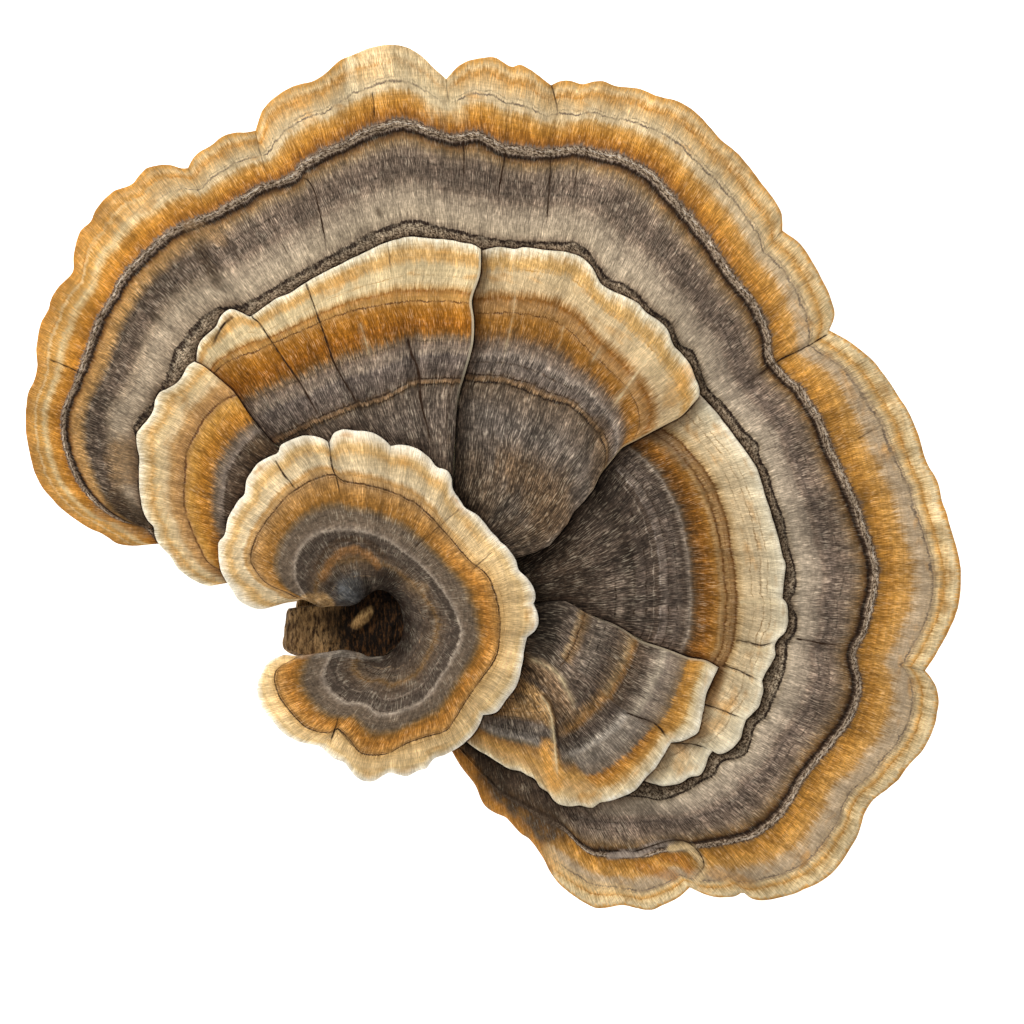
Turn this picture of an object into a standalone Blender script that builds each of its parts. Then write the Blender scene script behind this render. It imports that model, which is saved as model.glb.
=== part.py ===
"""A turkey tail rosette: thin zoned caps lying over one another on a base cut flat underneath.

Outlines are plan points in steps of 0.128 mm, x to the right and y towards the front.
"""

import math

import bmesh
import bpy
import numpy as np

MM = 0.001
STEP = 0.128 * MM
MIDDLE = (493.5, 477.5)
HUB = (480.0, 560.0)
NOTCH = 1

# Outlines of the caps

LOWER_RIM = [
    (155, 540), (148, 544), (133, 546), (118, 544), (108, 538), (100, 533), (88, 528), (70, 516),
    (58, 506), (50, 497), (40, 485), (33, 470), (30, 458), (27, 440), (25, 425), (26, 405),
    (28, 392), (34, 381), (37, 365), (36, 350), (37, 340), (40, 325), (48, 310), (50, 300),
    (60, 285), (70, 275), (73, 268), (73, 255), (76, 240), (80, 230), (90, 221), (95, 210),
    (102, 200), (112, 191), (120, 188), (132, 183), (138, 175), (145, 168), (155, 165),
    (168, 164), (180, 167), (187, 167, NOTCH), (192, 158), (200, 150), (212, 144), (222, 136),
    (235, 132), (245, 132), (255, 130, NOTCH), (258, 120), (263, 108), (275, 96), (290, 87),
    (302, 83), (313, 81), (325, 73), (340, 60), (355, 53), (370, 47), (388, 44), (405, 46),
    (420, 54), (432, 65), (446, 78, NOTCH), (455, 68), (465, 61), (480, 57), (495, 56),
    (511, 65), (520, 63), (530, 68), (540, 75), (551, 84, NOTCH), (560, 80), (570, 79),
    (583, 83), (595, 80), (605, 80), (618, 85), (640, 88), (658, 95), (680, 101), (700, 115),
    (720, 138), (740, 155), (758, 178), (775, 200), (782, 213), (783, 230, NOTCH), (790, 235),
    (800, 243), (815, 265), (825, 285), (832, 300), (835, 315), (830, 330, NOTCH), (845, 338),
    (860, 349), (875, 362), (890, 382), (905, 405), (915, 425), (922, 445), (927, 462),
    (937, 480), (942, 500), (947, 515), (957, 550), (961, 570), (961, 590), (958, 610),
    (952, 625), (943, 643), (935, 658), (926, 671, NOTCH), (932, 678), (938, 690), (940, 703),
    (937, 720), (930, 740), (920, 755), (908, 768), (898, 782), (885, 792), (875, 800),
    (866, 813), (862, 825), (858, 838), (850, 850), (840, 865), (825, 880), (805, 890),
    (785, 897), (765, 901), (752, 899), (743, 893), (735, 897), (720, 898), (705, 895),
    (690, 888, NOTCH), (680, 897), (665, 905), (650, 911), (638, 909), (621, 906), (600, 909),
    (588, 905), (575, 897), (560, 885), (550, 872), (543, 858), (530, 840), (520, 833),
    (510, 822), (505, 817), (495, 813), (485, 806), (480, 797), (475, 785), (465, 772),
    (458, 762), (451, 750), (444, 738),
]
LOWER_OUTER_LINE = [
    (166, 544), (152, 527), (135, 524), (120, 518), (105, 508), (92, 495), (82, 480), (75, 465),
    (70, 450), (67, 435), (67, 420), (70, 405), (78, 390), (83, 378), (90, 360), (95, 345),
    (100, 330), (108, 312), (118, 298), (125, 285), (135, 272), (150, 256), (165, 244),
    (180, 233), (200, 225), (220, 216), (240, 205), (260, 193), (280, 186), (297, 180),
    (302, 172), (320, 162), (345, 150), (360, 142), (380, 133), (400, 129), (420, 133),
    (445, 141), (460, 142), (480, 140), (505, 153), (550, 156), (575, 153), (600, 158),
    (620, 163), (640, 172), (655, 185), (670, 203), (690, 225), (705, 245), (715, 260),
    (730, 282), (748, 302), (758, 320), (764, 340), (766, 358), (780, 378), (795, 392),
    (808, 410), (818, 430), (827, 455), (838, 480), (848, 503), (858, 530), (867, 555),
    (870, 580), (866, 605), (858, 632), (850, 648), (850, 665), (854, 680), (853, 697),
    (845, 717), (832, 735), (815, 757), (798, 778), (785, 800), (770, 818), (750, 832),
    (725, 838), (697, 843), (665, 848), (640, 853), (600, 852), (585, 847), (572, 835),
    (560, 822), (545, 815), (522, 803), (500, 790), (480, 770), (460, 748), (443, 728),
]
LOWER_INNER_LINE = [
    (190, 553), (164, 532), (150, 505), (142, 470), (138, 448), (133, 430), (135, 420),
    (148, 408), (155, 400), (162, 385), (168, 370), (175, 350), (183, 340), (190, 328),
    (200, 319), (215, 310), (230, 306), (245, 304), (258, 297), (280, 284), (300, 272),
    (325, 258), (350, 244), (375, 231), (400, 222), (420, 220), (440, 226), (460, 231),
    (480, 236), (500, 240), (530, 242), (565, 242), (578, 244), (590, 253), (600, 268),
    (610, 280), (625, 284), (640, 295), (650, 308), (665, 317), (672, 325), (680, 343),
    (692, 350), (698, 362), (703, 380), (712, 392), (722, 402), (735, 417), (748, 432),
    (758, 445), (760, 458), (768, 472), (775, 497), (783, 518), (787, 540), (792, 558),
    (796, 575), (795, 590), (790, 602), (797, 618), (795, 635), (788, 645), (787, 660),
    (782, 680), (774, 700), (768, 715), (755, 728), (745, 755), (722, 762), (715, 775),
    (700, 782), (680, 795), (660, 800), (640, 797), (600, 795), (560, 784), (520, 762),
    (480, 735), (442, 712),
]
LOWER_ROOT = [
    (346, 582), (358, 540), (387, 490), (434, 469), (478, 482), (500, 520), (508, 560),
    (512, 602), (503, 648), (474, 677), (440, 687),
]
LOWER_START = [(346, 582), (300, 587), (232, 568), (190, 553), (166, 544), (155, 540)]

LEFT_RIM = [
    (195, 362), (188, 367), (183, 376), (177, 383), (168, 389), (160, 393), (156, 400),
    (154, 410), (148, 420), (142, 427), (137, 435), (138, 448), (140, 460), (139, 480),
    (140, 495), (143, 510), (148, 520), (154, 527), (155, 535), (160, 545), (170, 556),
    (178, 568), (190, 578), (200, 583), (210, 586), (220, 583), (230, 579), (242, 577),
]
LEFT_LINE = [
    (238, 396), (225, 402), (210, 415), (200, 430), (190, 450), (187, 470), (186, 500),
    (190, 520), (200, 545), (214, 566), (256, 580),
]
LEFT_ROOT = [(396, 498), (376, 520), (366, 550), (362, 578)]
LEFT_START = [
    (396, 498), (340, 480), (285, 452), (262, 430), (248, 412), (235, 393), (222, 381),
    (205, 367), (195, 362),
]
LEFT_END = [(362, 578), (300, 588), (242, 577)]

MIDDLE_RIM = [
    (197, 368), (197, 355), (199, 344), (203, 338), (215, 328), (220, 318), (225, 312),
    (232, 309), (242, 313), (250, 317, NOTCH), (258, 312), (275, 300), (290, 293),
    (305, 283, NOTCH), (310, 280), (330, 270), (350, 260), (370, 250), (386, 243), (395, 240),
    (410, 237), (425, 238), (445, 240), (465, 243), (475, 246), (481, 250),
]
MIDDLE_OUTER_LINE = [
    (208, 382), (222, 366), (240, 356), (262, 348), (290, 336), (320, 323), (350, 311),
    (390, 303), (430, 301), (472, 303),
]
MIDDLE_INNER_LINE = [
    (262, 446), (290, 430), (320, 418), (350, 405), (380, 398), (400, 388), (420, 380),
    (464, 379),
]
MIDDLE_ROOT = [(404, 518), (420, 508), (440, 506), (456, 512)]
MIDDLE_START = [
    (404, 518), (340, 492), (280, 462), (250, 435), (232, 412), (218, 394), (206, 380),
    (197, 368),
]
MIDDLE_END = [
    (456, 512), (453, 470), (455, 440), (458, 400), (465, 375), (473, 345), (474, 320),
    (472, 300), (480, 275), (481, 250),
]

INNER_RIGHT_RIM = [
    (460, 264), (468, 256), (482, 250), (500, 247), (515, 249), (525, 247), (545, 250),
    (565, 252), (580, 257), (592, 267), (600, 282), (610, 290), (625, 297), (637, 303),
    (645, 312), (660, 322), (668, 332), (673, 345), (682, 355), (690, 365), (695, 378),
    (699, 390), (698, 398),
]
INNER_RIGHT_OUTER_LINE = [
    (460, 305), (480, 305), (500, 304), (530, 306), (555, 312), (575, 325), (592, 345),
    (610, 362), (628, 380), (640, 398), (644, 420), (637, 439),
]
INNER_RIGHT_INNER_LINE = [
    (452, 380), (470, 380), (500, 382), (540, 395), (570, 405), (590, 425), (603, 445),
    (602, 468),
]
INNER_RIGHT_ROOT = [(440, 506), (460, 512), (478, 526), (488, 545), (496, 562)]
INNER_RIGHT_START = [
    (440, 506), (444, 470), (445, 430), (447, 400), (453, 375), (460, 340), (460, 300),
    (460, 264),
]
INNER_RIGHT_END = [
    (496, 562), (520, 557), (538, 551), (550, 545), (560, 533), (570, 520), (575, 510),
    (585, 500), (595, 487), (600, 475), (612, 460), (622, 448), (637, 440), (650, 433),
    (665, 425), (680, 417), (690, 407), (698, 398),
]

RIGHT_RIM = [
    (688, 384), (700, 395), (710, 405), (722, 420), (735, 437), (748, 455), (757, 470),
    (763, 490), (770, 510), (777, 535), (782, 555), (785, 565), (784, 580), (782, 598, NOTCH),
    (787, 605), (788, 620), (785, 632), (778, 639, NOTCH), (775, 645), (775, 655), (770, 665),
    (765, 675), (762, 681, NOTCH), (763, 690), (761, 700), (758, 708), (746, 720, NOTCH),
    (743, 730), (740, 740), (730, 750), (720, 754), (712, 751, NOTCH), (708, 758), (705, 768),
    (700, 775), (690, 777), (680, 783), (665, 786), (655, 784), (643, 780), (630, 772),
]
RIGHT_OUTER_LINE = [
    (645, 424), (665, 435), (690, 455), (715, 490), (728, 530), (735, 570), (738, 600),
    (735, 640), (725, 665), (706, 694), (680, 716), (650, 728), (614, 744),
]
RIGHT_INNER_LINE = [
    (584, 470), (610, 470), (636, 500), (652, 540), (656, 580), (654, 625), (640, 660),
    (610, 690), (575, 706),
]
RIGHT_ROOT = [
    (492, 526), (498, 545), (503, 575), (505, 602), (500, 635), (486, 662),
]
RIGHT_START = [
    (492, 526), (540, 505), (575, 480), (600, 448), (640, 420), (672, 396), (688, 384),
]
RIGHT_END = [(486, 662), (530, 690), (590, 722), (630, 772)]

FRONT_RIM = [
    (718, 667), (712, 680), (706, 695), (703, 710), (700, 725), (697, 733), (688, 738),
    (680, 741), (671, 742, NOTCH), (667, 748), (663, 755), (655, 767), (645, 778), (635, 790),
    (625, 795), (610, 800), (600, 802), (592, 807), (580, 805), (570, 806), (560, 804),
    (553, 799), (548, 792), (540, 787), (535, 779), (527, 775), (520, 771), (510, 769),
    (500, 763), (490, 757), (480, 751), (470, 744), (456, 734),
]
FRONT_OUTER_LINE = [
    (676, 652), (668, 680), (655, 705), (642, 722), (622, 742), (598, 758), (575, 766),
    (558, 762), (540, 750), (515, 744), (490, 736), (470, 722), (454, 712),
]
FRONT_INNER_LINE = [
    (600, 619), (590, 645), (578, 668), (560, 690), (545, 704), (528, 708), (505, 708),
    (480, 704), (454, 698),
]
FRONT_ROOT = [(508, 604), (507, 625), (500, 645), (488, 662), (470, 676), (452, 684)]
FRONT_START = [
    (508, 604), (537, 603), (550, 601), (565, 601), (575, 606), (585, 612), (600, 619),
    (612, 623), (625, 630), (640, 640), (655, 645), (670, 650), (685, 656), (692, 658),
    (705, 660), (718, 667),
]
FRONT_END = [(452, 684), (454, 710), (456, 734)]

CROWN_RIM = [
    (297, 601), (285, 603), (275, 606), (262, 609), (250, 606), (240, 600), (235, 593),
    (228, 582), (222, 570), (220, 555), (220, 543), (226, 535), (228, 522), (232, 512),
    (240, 500), (246, 494), (248, 480), (253, 472), (260, 463), (270, 457), (279, 453),
    (282, 446), (290, 441), (300, 437), (310, 436), (322, 438), (330, 443, NOTCH), (332, 438),
    (336, 433), (345, 430), (360, 431), (375, 434), (385, 440), (391, 446, NOTCH), (400, 445),
    (410, 446), (420, 450), (430, 458), (437, 467), (447, 471), (452, 478), (453, 488),
    (460, 500), (466, 508), (480, 517), (490, 530), (500, 541), (510, 550), (516, 560),
    (519, 570), (528, 578), (534, 590), (535, 598), (533, 603, NOTCH), (537, 612), (538, 622),
    (535, 630), (527, 637, NOTCH), (525, 645), (523, 660), (520, 675), (515, 688), (505, 700),
    (498, 710), (492, 713), (483, 714, NOTCH), (480, 722), (475, 732), (465, 742), (455, 749),
    (445, 754), (434, 758), (427, 767), (418, 770), (408, 775), (398, 774), (390, 772),
    (383, 775), (375, 780), (365, 780), (357, 776), (350, 768), (345, 762), (335, 758),
    (327, 752), (320, 746), (300, 741), (285, 733), (275, 722), (267, 713), (262, 705),
    (259, 695), (258, 685), (261, 675), (266, 665), (275, 658), (285, 654),
]
CROWN_OUTER_LINE = [
    (303, 599), (288, 592), (270, 584), (258, 572), (252, 558), (256, 540), (268, 520),
    (285, 500), (300, 488), (320, 478), (335, 475), (345, 481), (380, 488), (410, 500),
    (430, 515), (455, 543), (470, 560), (485, 572), (495, 590), (500, 620), (499, 645),
    (493, 662), (480, 680), (466, 700), (455, 718), (445, 730), (420, 737), (405, 743),
    (385, 753), (362, 752), (350, 738), (338, 728), (330, 732), (310, 728), (297, 717),
    (285, 703), (278, 690), (277, 670), (300, 655),
]
CROWN_INNER_LINE = [
    (314, 603), (303, 590), (296, 575), (298, 555), (310, 538), (330, 530), (360, 530),
    (385, 538), (410, 555), (432, 575), (450, 600), (462, 630), (455, 655), (440, 680),
    (425, 700), (400, 712), (380, 715), (365, 705), (345, 703), (330, 690), (324, 675),
    (334, 651),
]
CROWN_ROOT = [
    (334, 604), (347, 606), (358, 603), (367, 596), (377, 590), (388, 592), (398, 602),
    (403, 616), (404, 632), (400, 643),
]
CROWN_START = [(334, 604), (322, 607), (312, 602), (303, 599), (297, 601)]
CROWN_END = [
    (400, 643), (393, 651), (385, 655), (370, 656), (360, 652), (345, 649), (330, 651),
    (315, 653), (300, 655), (285, 654),
]

# Outlines of the base, from the flat cut up to the hollow under the crown

BASE_CENTRE = (425, 600)
FOOT = [
    (620, 540), (622, 600), (600, 655), (545, 698), (470, 712), (400, 700), (330, 684),
    (294, 652), (293, 620), (302, 560), (320, 490), (360, 435), (420, 400), (500, 392),
    (572, 420), (608, 475),
]
NECK = [
    (490, 560), (495, 600), (488, 640), (465, 662), (420, 672), (340, 668), (300, 656),
    (285, 647), (287, 625), (293, 606), (330, 602), (362, 598), (382, 548), (406, 506),
    (435, 484), (465, 495), (482, 525),
]
SHOULDER = [
    (452, 560), (462, 600), (452, 640), (435, 654), (400, 662), (340, 664), (300, 654),
    (287, 646), (289, 625), (295, 608), (330, 604), (354, 598), (380, 570), (405, 545),
    (430, 540),
]
LEDGE = 6.1
SHELF = 11.0


# Lines in plan

def smooth_run(points, fineness):
    """A line curving through every point of one run."""
    run = np.array([point[:2] for point in points], float)
    if len(run) < 3:
        return np.linspace(run[0], run[-1], fineness + 1)
    ends = np.vstack([2 * run[0] - run[1], run, 2 * run[-1] - run[-2]])
    share = np.linspace(0, 1, fineness, endpoint=False)[:, None]
    pieces = []
    for a, b, c, d in zip(ends, ends[1:], ends[2:], ends[3:]):
        pieces.append(
            0.5 * (2 * b + (c - a) * share + (2 * a - 5 * b + 4 * c - d) * share**2
                   + (3 * b - a - 3 * c + d) * share**3)
        )
    return np.vstack(pieces + [run[-1:]])


def runs_of(points):
    """The stretches of an outline between its sharp notches."""
    runs = [[points[0]]]
    for point in points[1:]:
        runs[-1].append(point)
        if len(point) > 2:
            runs.append([point])
    return [run for run in runs if len(run) > 1]


def lengths_along(line):
    """How far each point lies along the line."""
    return np.concatenate([[0], np.cumsum(np.linalg.norm(np.diff(line, axis=0), axis=1))])


def spaced(line, count):
    """The line again, as evenly spaced points."""
    along = lengths_along(line)
    wanted = np.linspace(0, along[-1], count + 1)
    return np.stack([np.interp(wanted, along, line[:, axis]) for axis in (0, 1)], axis=1)


def rim_columns(rim, spacing):
    """Points along a rim, one of them on each notch, and the places of the notches."""
    pieces = []
    notches = []
    for run in runs_of(rim):
        line = smooth_run(run, 6)
        count = max(2, round(lengths_along(line)[-1] / spacing))
        pieces.append(spaced(line, count)[:-1])
        notches.append(sum(len(piece) for piece in pieces))
    last = np.array([rim[-1][:2]], float)
    columns = np.vstack(pieces + [last])
    along = lengths_along(columns)
    return columns, along, along[notches[:-1]]


def turn_along(line, centre):
    """How far round the centre each point lies, from 0 at the start to 1 at the end."""
    angle = np.unwrap(np.arctan2(centre[1] - line[:, 1], line[:, 0] - centre[0]))
    turn = np.maximum.accumulate((angle - angle[0]) * np.sign(angle[-1] - angle[0]))
    along = lengths_along(line)
    return 0.9 * turn / turn[-1] + 0.1 * along / along[-1]


def at_turn(line, centre, turn):
    """The points of a line that lie this far round."""
    own = turn_along(line, centre)
    return np.stack([np.interp(turn, own, line[:, axis]) for axis in (0, 1)], axis=1)


def nearest_share(line, point):
    """Where along the line, from 0 to 1, it comes nearest to the point."""
    along = lengths_along(line)
    return along[np.argmin(np.linalg.norm(line - point, axis=1))] / along[-1]


def side_points(side, shares, levels, rows):
    """Points down one side edge, level with the growth lines that end on it."""
    line = spaced(smooth_run(side, 8), 400)
    ends = [nearest_share(line, end) for end in levels]
    ends[0], ends[-1] = 0.0, 1.0
    ends = np.maximum.accumulate(ends)
    wanted = np.interp(rows, shares, ends) * 400
    return np.stack([np.interp(wanted, np.arange(401), line[:, axis]) for axis in (0, 1)], axis=1)


def sheet(outline, spacing, rows):
    """Plan points of a cap: growth rows from root to rim, columns from side to side."""
    columns, along, notches = rim_columns(outline["rim"], spacing)
    turn = turn_along(columns, outline["centre"])
    lines = []
    for points in outline["lines"]:
        lines.append(at_turn(smooth_run(points, 6), outline["centre"], turn))
    lines.append(columns)
    lines = np.array(lines)
    shares = np.array(outline["shares"])
    plan = np.empty((len(rows), len(columns), 2))
    for axis in (0, 1):
        for column in range(len(columns)):
            plan[:, column, axis] = np.interp(rows, shares, lines[:, column, axis])
    across = along / along[-1]
    for side, end, weight in (("start", 0, 1 - across), ("end", -1, across)):
        if side in outline:
            wanted = side_points(outline[side], shares, lines[:, end], rows)
            plan += weight[None, :, None] * (wanted - plan[:, end])[:, None]
    return plan, along, notches


# Heights, in millimetres

def ease(value, low, high):
    """0 below low and 1 above high, with a smooth rise between."""
    share = np.clip((value - low) / (high - low), 0, 1)
    return share * share * (3 - 2 * share)


def common_wave(x, y):
    """The gentle dome and waves that all the caps share, so that none meets another."""
    away = np.hypot(x - HUB[0], y - HUB[1]) / 400
    angle = np.arctan2(HUB[1] - y, x - HUB[0])
    wave = 0.7 * np.sin(3 * angle + 0.6) * away**1.5 + 0.6 * np.sin(7 * angle + 1.3) * away**3
    return wave - 1.4 * away**2


def lobes(along, notches, width):
    """0 at each notch of the rim, rising to 1 between them."""
    swell = np.ones_like(along)
    for notch in notches:
        swell = np.minimum(swell, 1 - np.exp(-(((along - notch) / width) ** 2)))
    return swell


def profile(rows, heights):
    """A smooth height from root to rim through (share, height) pairs."""
    shares = [share for share, _ in heights]
    values = [value for _, value in heights]
    fine = np.linspace(0, 1, 201)
    rough = np.interp(fine, shares, values)
    kernel = np.ones(21) / 21
    padded = np.pad(rough, 10, mode="reflect", reflect_type="odd")
    return np.interp(rows, fine, np.convolve(padded, kernel, "valid"))


def thickness_at(rows, root, rim):
    """A cap is thickest at its root and thin at its rim."""
    return root + (rim - root) * ease(rows, 0.1, 1.0)


def near_line(x, y, points, width):
    """1 on a line of plan points, fading to 0 over the width."""
    line = spaced(smooth_run(points, 6), 60)
    distance = np.min(
        np.hypot(x[..., None] - line[:, 0], y[..., None] - line[:, 1]), axis=-1
    )
    return np.exp(-((distance / width) ** 2))


def lower_height(rows, across, swell, x, y):
    top = profile(rows, [(0, 8.4), (0.42, 10.0), (0.75, 10.2), (1, 9.5)])
    return top[:, None] + 0.7 * ease(rows, 0.6, 1)[:, None] * (swell[None] - 0.6)


def left_height(rows, across, swell, x, y):
    near = profile(rows, [(0, 15.8), (0.5, 15.0), (0.8, 14.0), (1, 13.2)])
    far = profile(rows, [(0, 13.4), (0.5, 13.3), (0.8, 12.4), (1, 11.5)])
    blend = ease(across, 0.1, 0.45)[None]
    return near[:, None] * (1 - blend) + far[:, None] * blend


def middle_height(rows, across, swell, x, y):
    near = profile(rows, [(0, 13.0), (0.5, 12.9), (0.8, 12.2), (1, 11.6)])
    far = profile(rows, [(0, 15.2), (0.5, 14.9), (0.8, 13.9), (1, 12.7)])
    mid = profile(rows, [(0, 14.6), (0.5, 13.9), (0.8, 12.6), (1, 11.4)])
    first = ease(across, 0.15, 0.45)[None]
    second = ease(across, 0.7, 1.0)[None]
    top = near[:, None] * (1 - first) + mid[:, None] * first
    return top * (1 - second) + far[:, None] * second + 0.3 * (swell[None] - 0.6) * rows[:, None]


def inner_right_height(rows, across, swell, x, y):
    near = profile(rows, [(0, 12.7), (0.5, 12.8), (0.8, 12.0), (1, 11.2)])
    far = profile(rows, [(0, 13.2), (0.3, 14.0), (0.8, 14.0), (1, 12.9)])
    blend = ease(across, 0.35, 0.9)[None]
    return near[:, None] * (1 - blend) + far[:, None] * blend


def right_height(rows, across, swell, x, y):
    top = profile(rows, [(0, 10.3), (0.3, 11.4), (0.6, 12.2), (0.85, 12.0), (1, 11.3)])
    return top[:, None] + 0.25 * (swell[None] - 0.6) * rows[:, None]


def front_height(rows, across, swell, x, y):
    near = profile(rows, [(0, 12.4), (0.5, 13.8), (0.8, 13.8), (1, 13.2)])
    far = profile(rows, [(0, 12.6), (0.5, 13.0), (0.8, 12.4), (1, 11.6)])
    blend = ease(across, 0.45, 0.8)[None]
    top = near[:, None] * (1 - blend) + far[:, None] * blend
    fold = near_line(x, y, [(512, 688), (538, 698), (552, 725), (557, 755), (562, 796)], 13)
    crest = near_line(x, y, [(530, 660), (560, 678), (575, 702), (590, 726)], 12)
    return top + 1.3 * fold + 0.8 * crest


def crown_height(rows, across, swell, x, y):
    top = profile(rows, [(0, 14.4), (0.2, 16.6), (0.42, 18.6), (0.7, 18.6), (1, 16.4)])
    knob = np.exp(-((np.hypot(x - 350, y - 590) / 15) ** 2))
    return top[:, None] + 0.5 * (swell[None] - 0.6) * rows[:, None] + 1.6 * knob


CAPS = {
    "lower_cap": {
        "centre": (480, 560), "rim": LOWER_RIM,
        "lines": [LOWER_ROOT, LOWER_INNER_LINE, LOWER_OUTER_LINE],
        "shares": [0, 0.42, 0.75, 1], "start": LOWER_START,
        "height": lower_height, "thickness": (1.6, 0.6), "wave": 30,
        "spacing": 17.5, "rows": [0, 0.42, 0.75, 0.94, 1],
        "colour": (0.40, 0.30, 0.20),
    },
    "left_cap": {
        "centre": (420, 520), "rim": LEFT_RIM, "lines": [LEFT_ROOT, LEFT_LINE],
        "shares": [0, 0.78, 1], "start": LEFT_START, "end": LEFT_END,
        "height": left_height, "thickness": (1.4, 0.7), "wave": 14,
        "spacing": 10, "rows": [0, 0.4, 0.78, 1],
        "colour": (0.55, 0.36, 0.16),
    },
    "middle_cap": {
        "centre": (450, 570), "rim": MIDDLE_RIM,
        "lines": [MIDDLE_ROOT, MIDDLE_INNER_LINE, MIDDLE_OUTER_LINE],
        "shares": [0, 0.48, 0.78, 1], "start": MIDDLE_START, "end": MIDDLE_END,
        "height": middle_height, "thickness": (1.4, 0.7), "wave": 14,
        "spacing": 10, "rows": [0, 0.48, 0.78, 1],
        "colour": (0.52, 0.38, 0.22),
    },
    "inner_right_cap": {
        "centre": (470, 560), "rim": INNER_RIGHT_RIM,
        "lines": [INNER_RIGHT_ROOT, INNER_RIGHT_INNER_LINE, INNER_RIGHT_OUTER_LINE],
        "shares": [0, 0.5, 0.8, 1], "start": INNER_RIGHT_START, "end": INNER_RIGHT_END,
        "height": inner_right_height, "thickness": (1.2, 0.7), "wave": 14,
        "spacing": 11, "rows": [0, 0.25, 0.5, 0.8, 1],
        "colour": (0.48, 0.36, 0.22),
    },
    "right_cap": {
        "centre": (500, 600), "rim": RIGHT_RIM,
        "lines": [RIGHT_ROOT, RIGHT_INNER_LINE, RIGHT_OUTER_LINE],
        "shares": [0, 0.55, 0.82, 1], "start": RIGHT_START, "end": RIGHT_END,
        "height": right_height, "thickness": (1.3, 0.7), "wave": 12,
        "spacing": 11, "rows": [0, 0.28, 0.55, 0.82, 1],
        "colour": (0.40, 0.32, 0.24),
    },
    "front_cap": {
        "centre": (480, 640), "rim": FRONT_RIM,
        "lines": [FRONT_ROOT, FRONT_INNER_LINE, FRONT_OUTER_LINE],
        "shares": [0, 0.45, 0.8, 1], "start": FRONT_START, "end": FRONT_END,
        "height": front_height, "thickness": (1.3, 0.7), "wave": 12,
        "spacing": 9, "rows": [0, 0.25, 0.45, 0.62, 0.8, 1],
        "colour": (0.42, 0.31, 0.20),
    },
    "crown_cap": {
        "centre": (378, 618), "rim": CROWN_RIM,
        "lines": [CROWN_ROOT, CROWN_INNER_LINE, CROWN_OUTER_LINE],
        "shares": [0, 0.42, 0.74, 1], "start": CROWN_START, "end": CROWN_END,
        "height": crown_height, "thickness": (1.4, 0.8), "wave": 12,
        "spacing": 10, "rows": [0, 0.2, 0.42, 0.74, 1],
        "colour": (0.58, 0.42, 0.24),
    },
}


# Solids

def material(name, colour, roughness):
    made = bpy.data.materials.new(name)
    made.use_nodes = True
    shader = made.node_tree.nodes["Principled BSDF"]
    shader.inputs["Base Color"].default_value = (*colour, 1)
    shader.inputs["Roughness"].default_value = roughness
    shader.inputs["Metallic"].default_value = 0
    return made


def placed(x, y, height):
    """A plan point and a height in millimetres, as a place in metres."""
    return ((x - MIDDLE[0]) * STEP, (MIDDLE[1] - y) * STEP, height * MM)


def finished(name, bm, colour, collection):
    bmesh.ops.recalc_face_normals(bm, faces=bm.faces[:])
    mesh = bpy.data.meshes.new(name)
    bm.to_mesh(mesh)
    bm.free()
    mesh.shade_smooth()
    mesh.set_sharp_from_angle(angle=math.radians(50))
    made = bpy.data.objects.new(name, mesh)
    made.data.materials.append(material(name, colour, 0.8))
    collection.objects.link(made)
    return made


def bent_grid(columns, rows, place):
    """A grid of columns and rows whose points are moved to place(row, column)."""
    bm = bmesh.new()
    own = bm.verts.layers.int.new("place")
    bmesh.ops.create_grid(bm, x_segments=columns - 1, y_segments=rows - 1, size=1)
    for index, vert in enumerate(bm.verts):
        vert[own] = index
        vert.co = place(index // columns, index % columns)
    return bm, own


def make_cap(name, cap, collection):
    """One cap: a grid bent to the plan and the heights, made solid by sinking a copy of it."""
    rows = np.array(cap["rows"], float)
    plan, along, notches = sheet(cap, cap["spacing"], rows)
    x, y = plan[..., 0], plan[..., 1]
    swell = lobes(along, notches, cap["wave"])
    top = cap["height"](rows, along / along[-1], swell, x, y) + common_wave(x, y)
    depth = thickness_at(rows, *cap["thickness"])
    count = len(along)
    bm, own = bent_grid(
        count, len(rows), lambda row, column: placed(x[row, column], y[row, column],
                                                     top[row, column])
    )
    grown = bmesh.ops.extrude_face_region(bm, geom=bm.faces[:], use_keep_orig=True)
    for item in grown["geom"]:
        if isinstance(item, bmesh.types.BMVert):
            item.co.z -= depth[item[own] // count] * MM
    return finished(name, bm, cap["colour"], collection)


def ring_radii(outline, angles):
    """How far an outline of the base lies from its centre, at each angle."""
    line = smooth_run(outline + [outline[0]], 6)
    own = np.arctan2(BASE_CENTRE[1] - line[:, 1], line[:, 0] - BASE_CENTRE[0])
    far = np.hypot(line[:, 0] - BASE_CENTRE[0], line[:, 1] - BASE_CENTRE[1])
    order = np.argsort(own)
    return np.interp(angles, own[order], far[order], period=2 * math.pi)


def base_levels(angles):
    """The base's outlines and heights, from the cut upwards and in to the hollow."""
    foot, neck, shoulder = (ring_radii(line, angles) for line in (FOOT, NECK, SHOULDER))
    return [
        (foot * 0.8, 0.0), (foot * 0.84, 1.0), (foot * 0.9, 3.0), (foot, LEDGE - 0.8),
        (foot * 0.98, LEDGE), (neck + 3, LEDGE + 0.1), (neck, LEDGE + 1.2),
        (neck, SHELF - 0.6), (neck * 0.98, SHELF), (shoulder + 2, SHELF + 0.1),
        (shoulder, SHELF + 0.8), (shoulder * 0.94, 12.6), (shoulder * 0.7, 12.4),
        (shoulder * 0.35, 12.2),
    ]


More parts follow.
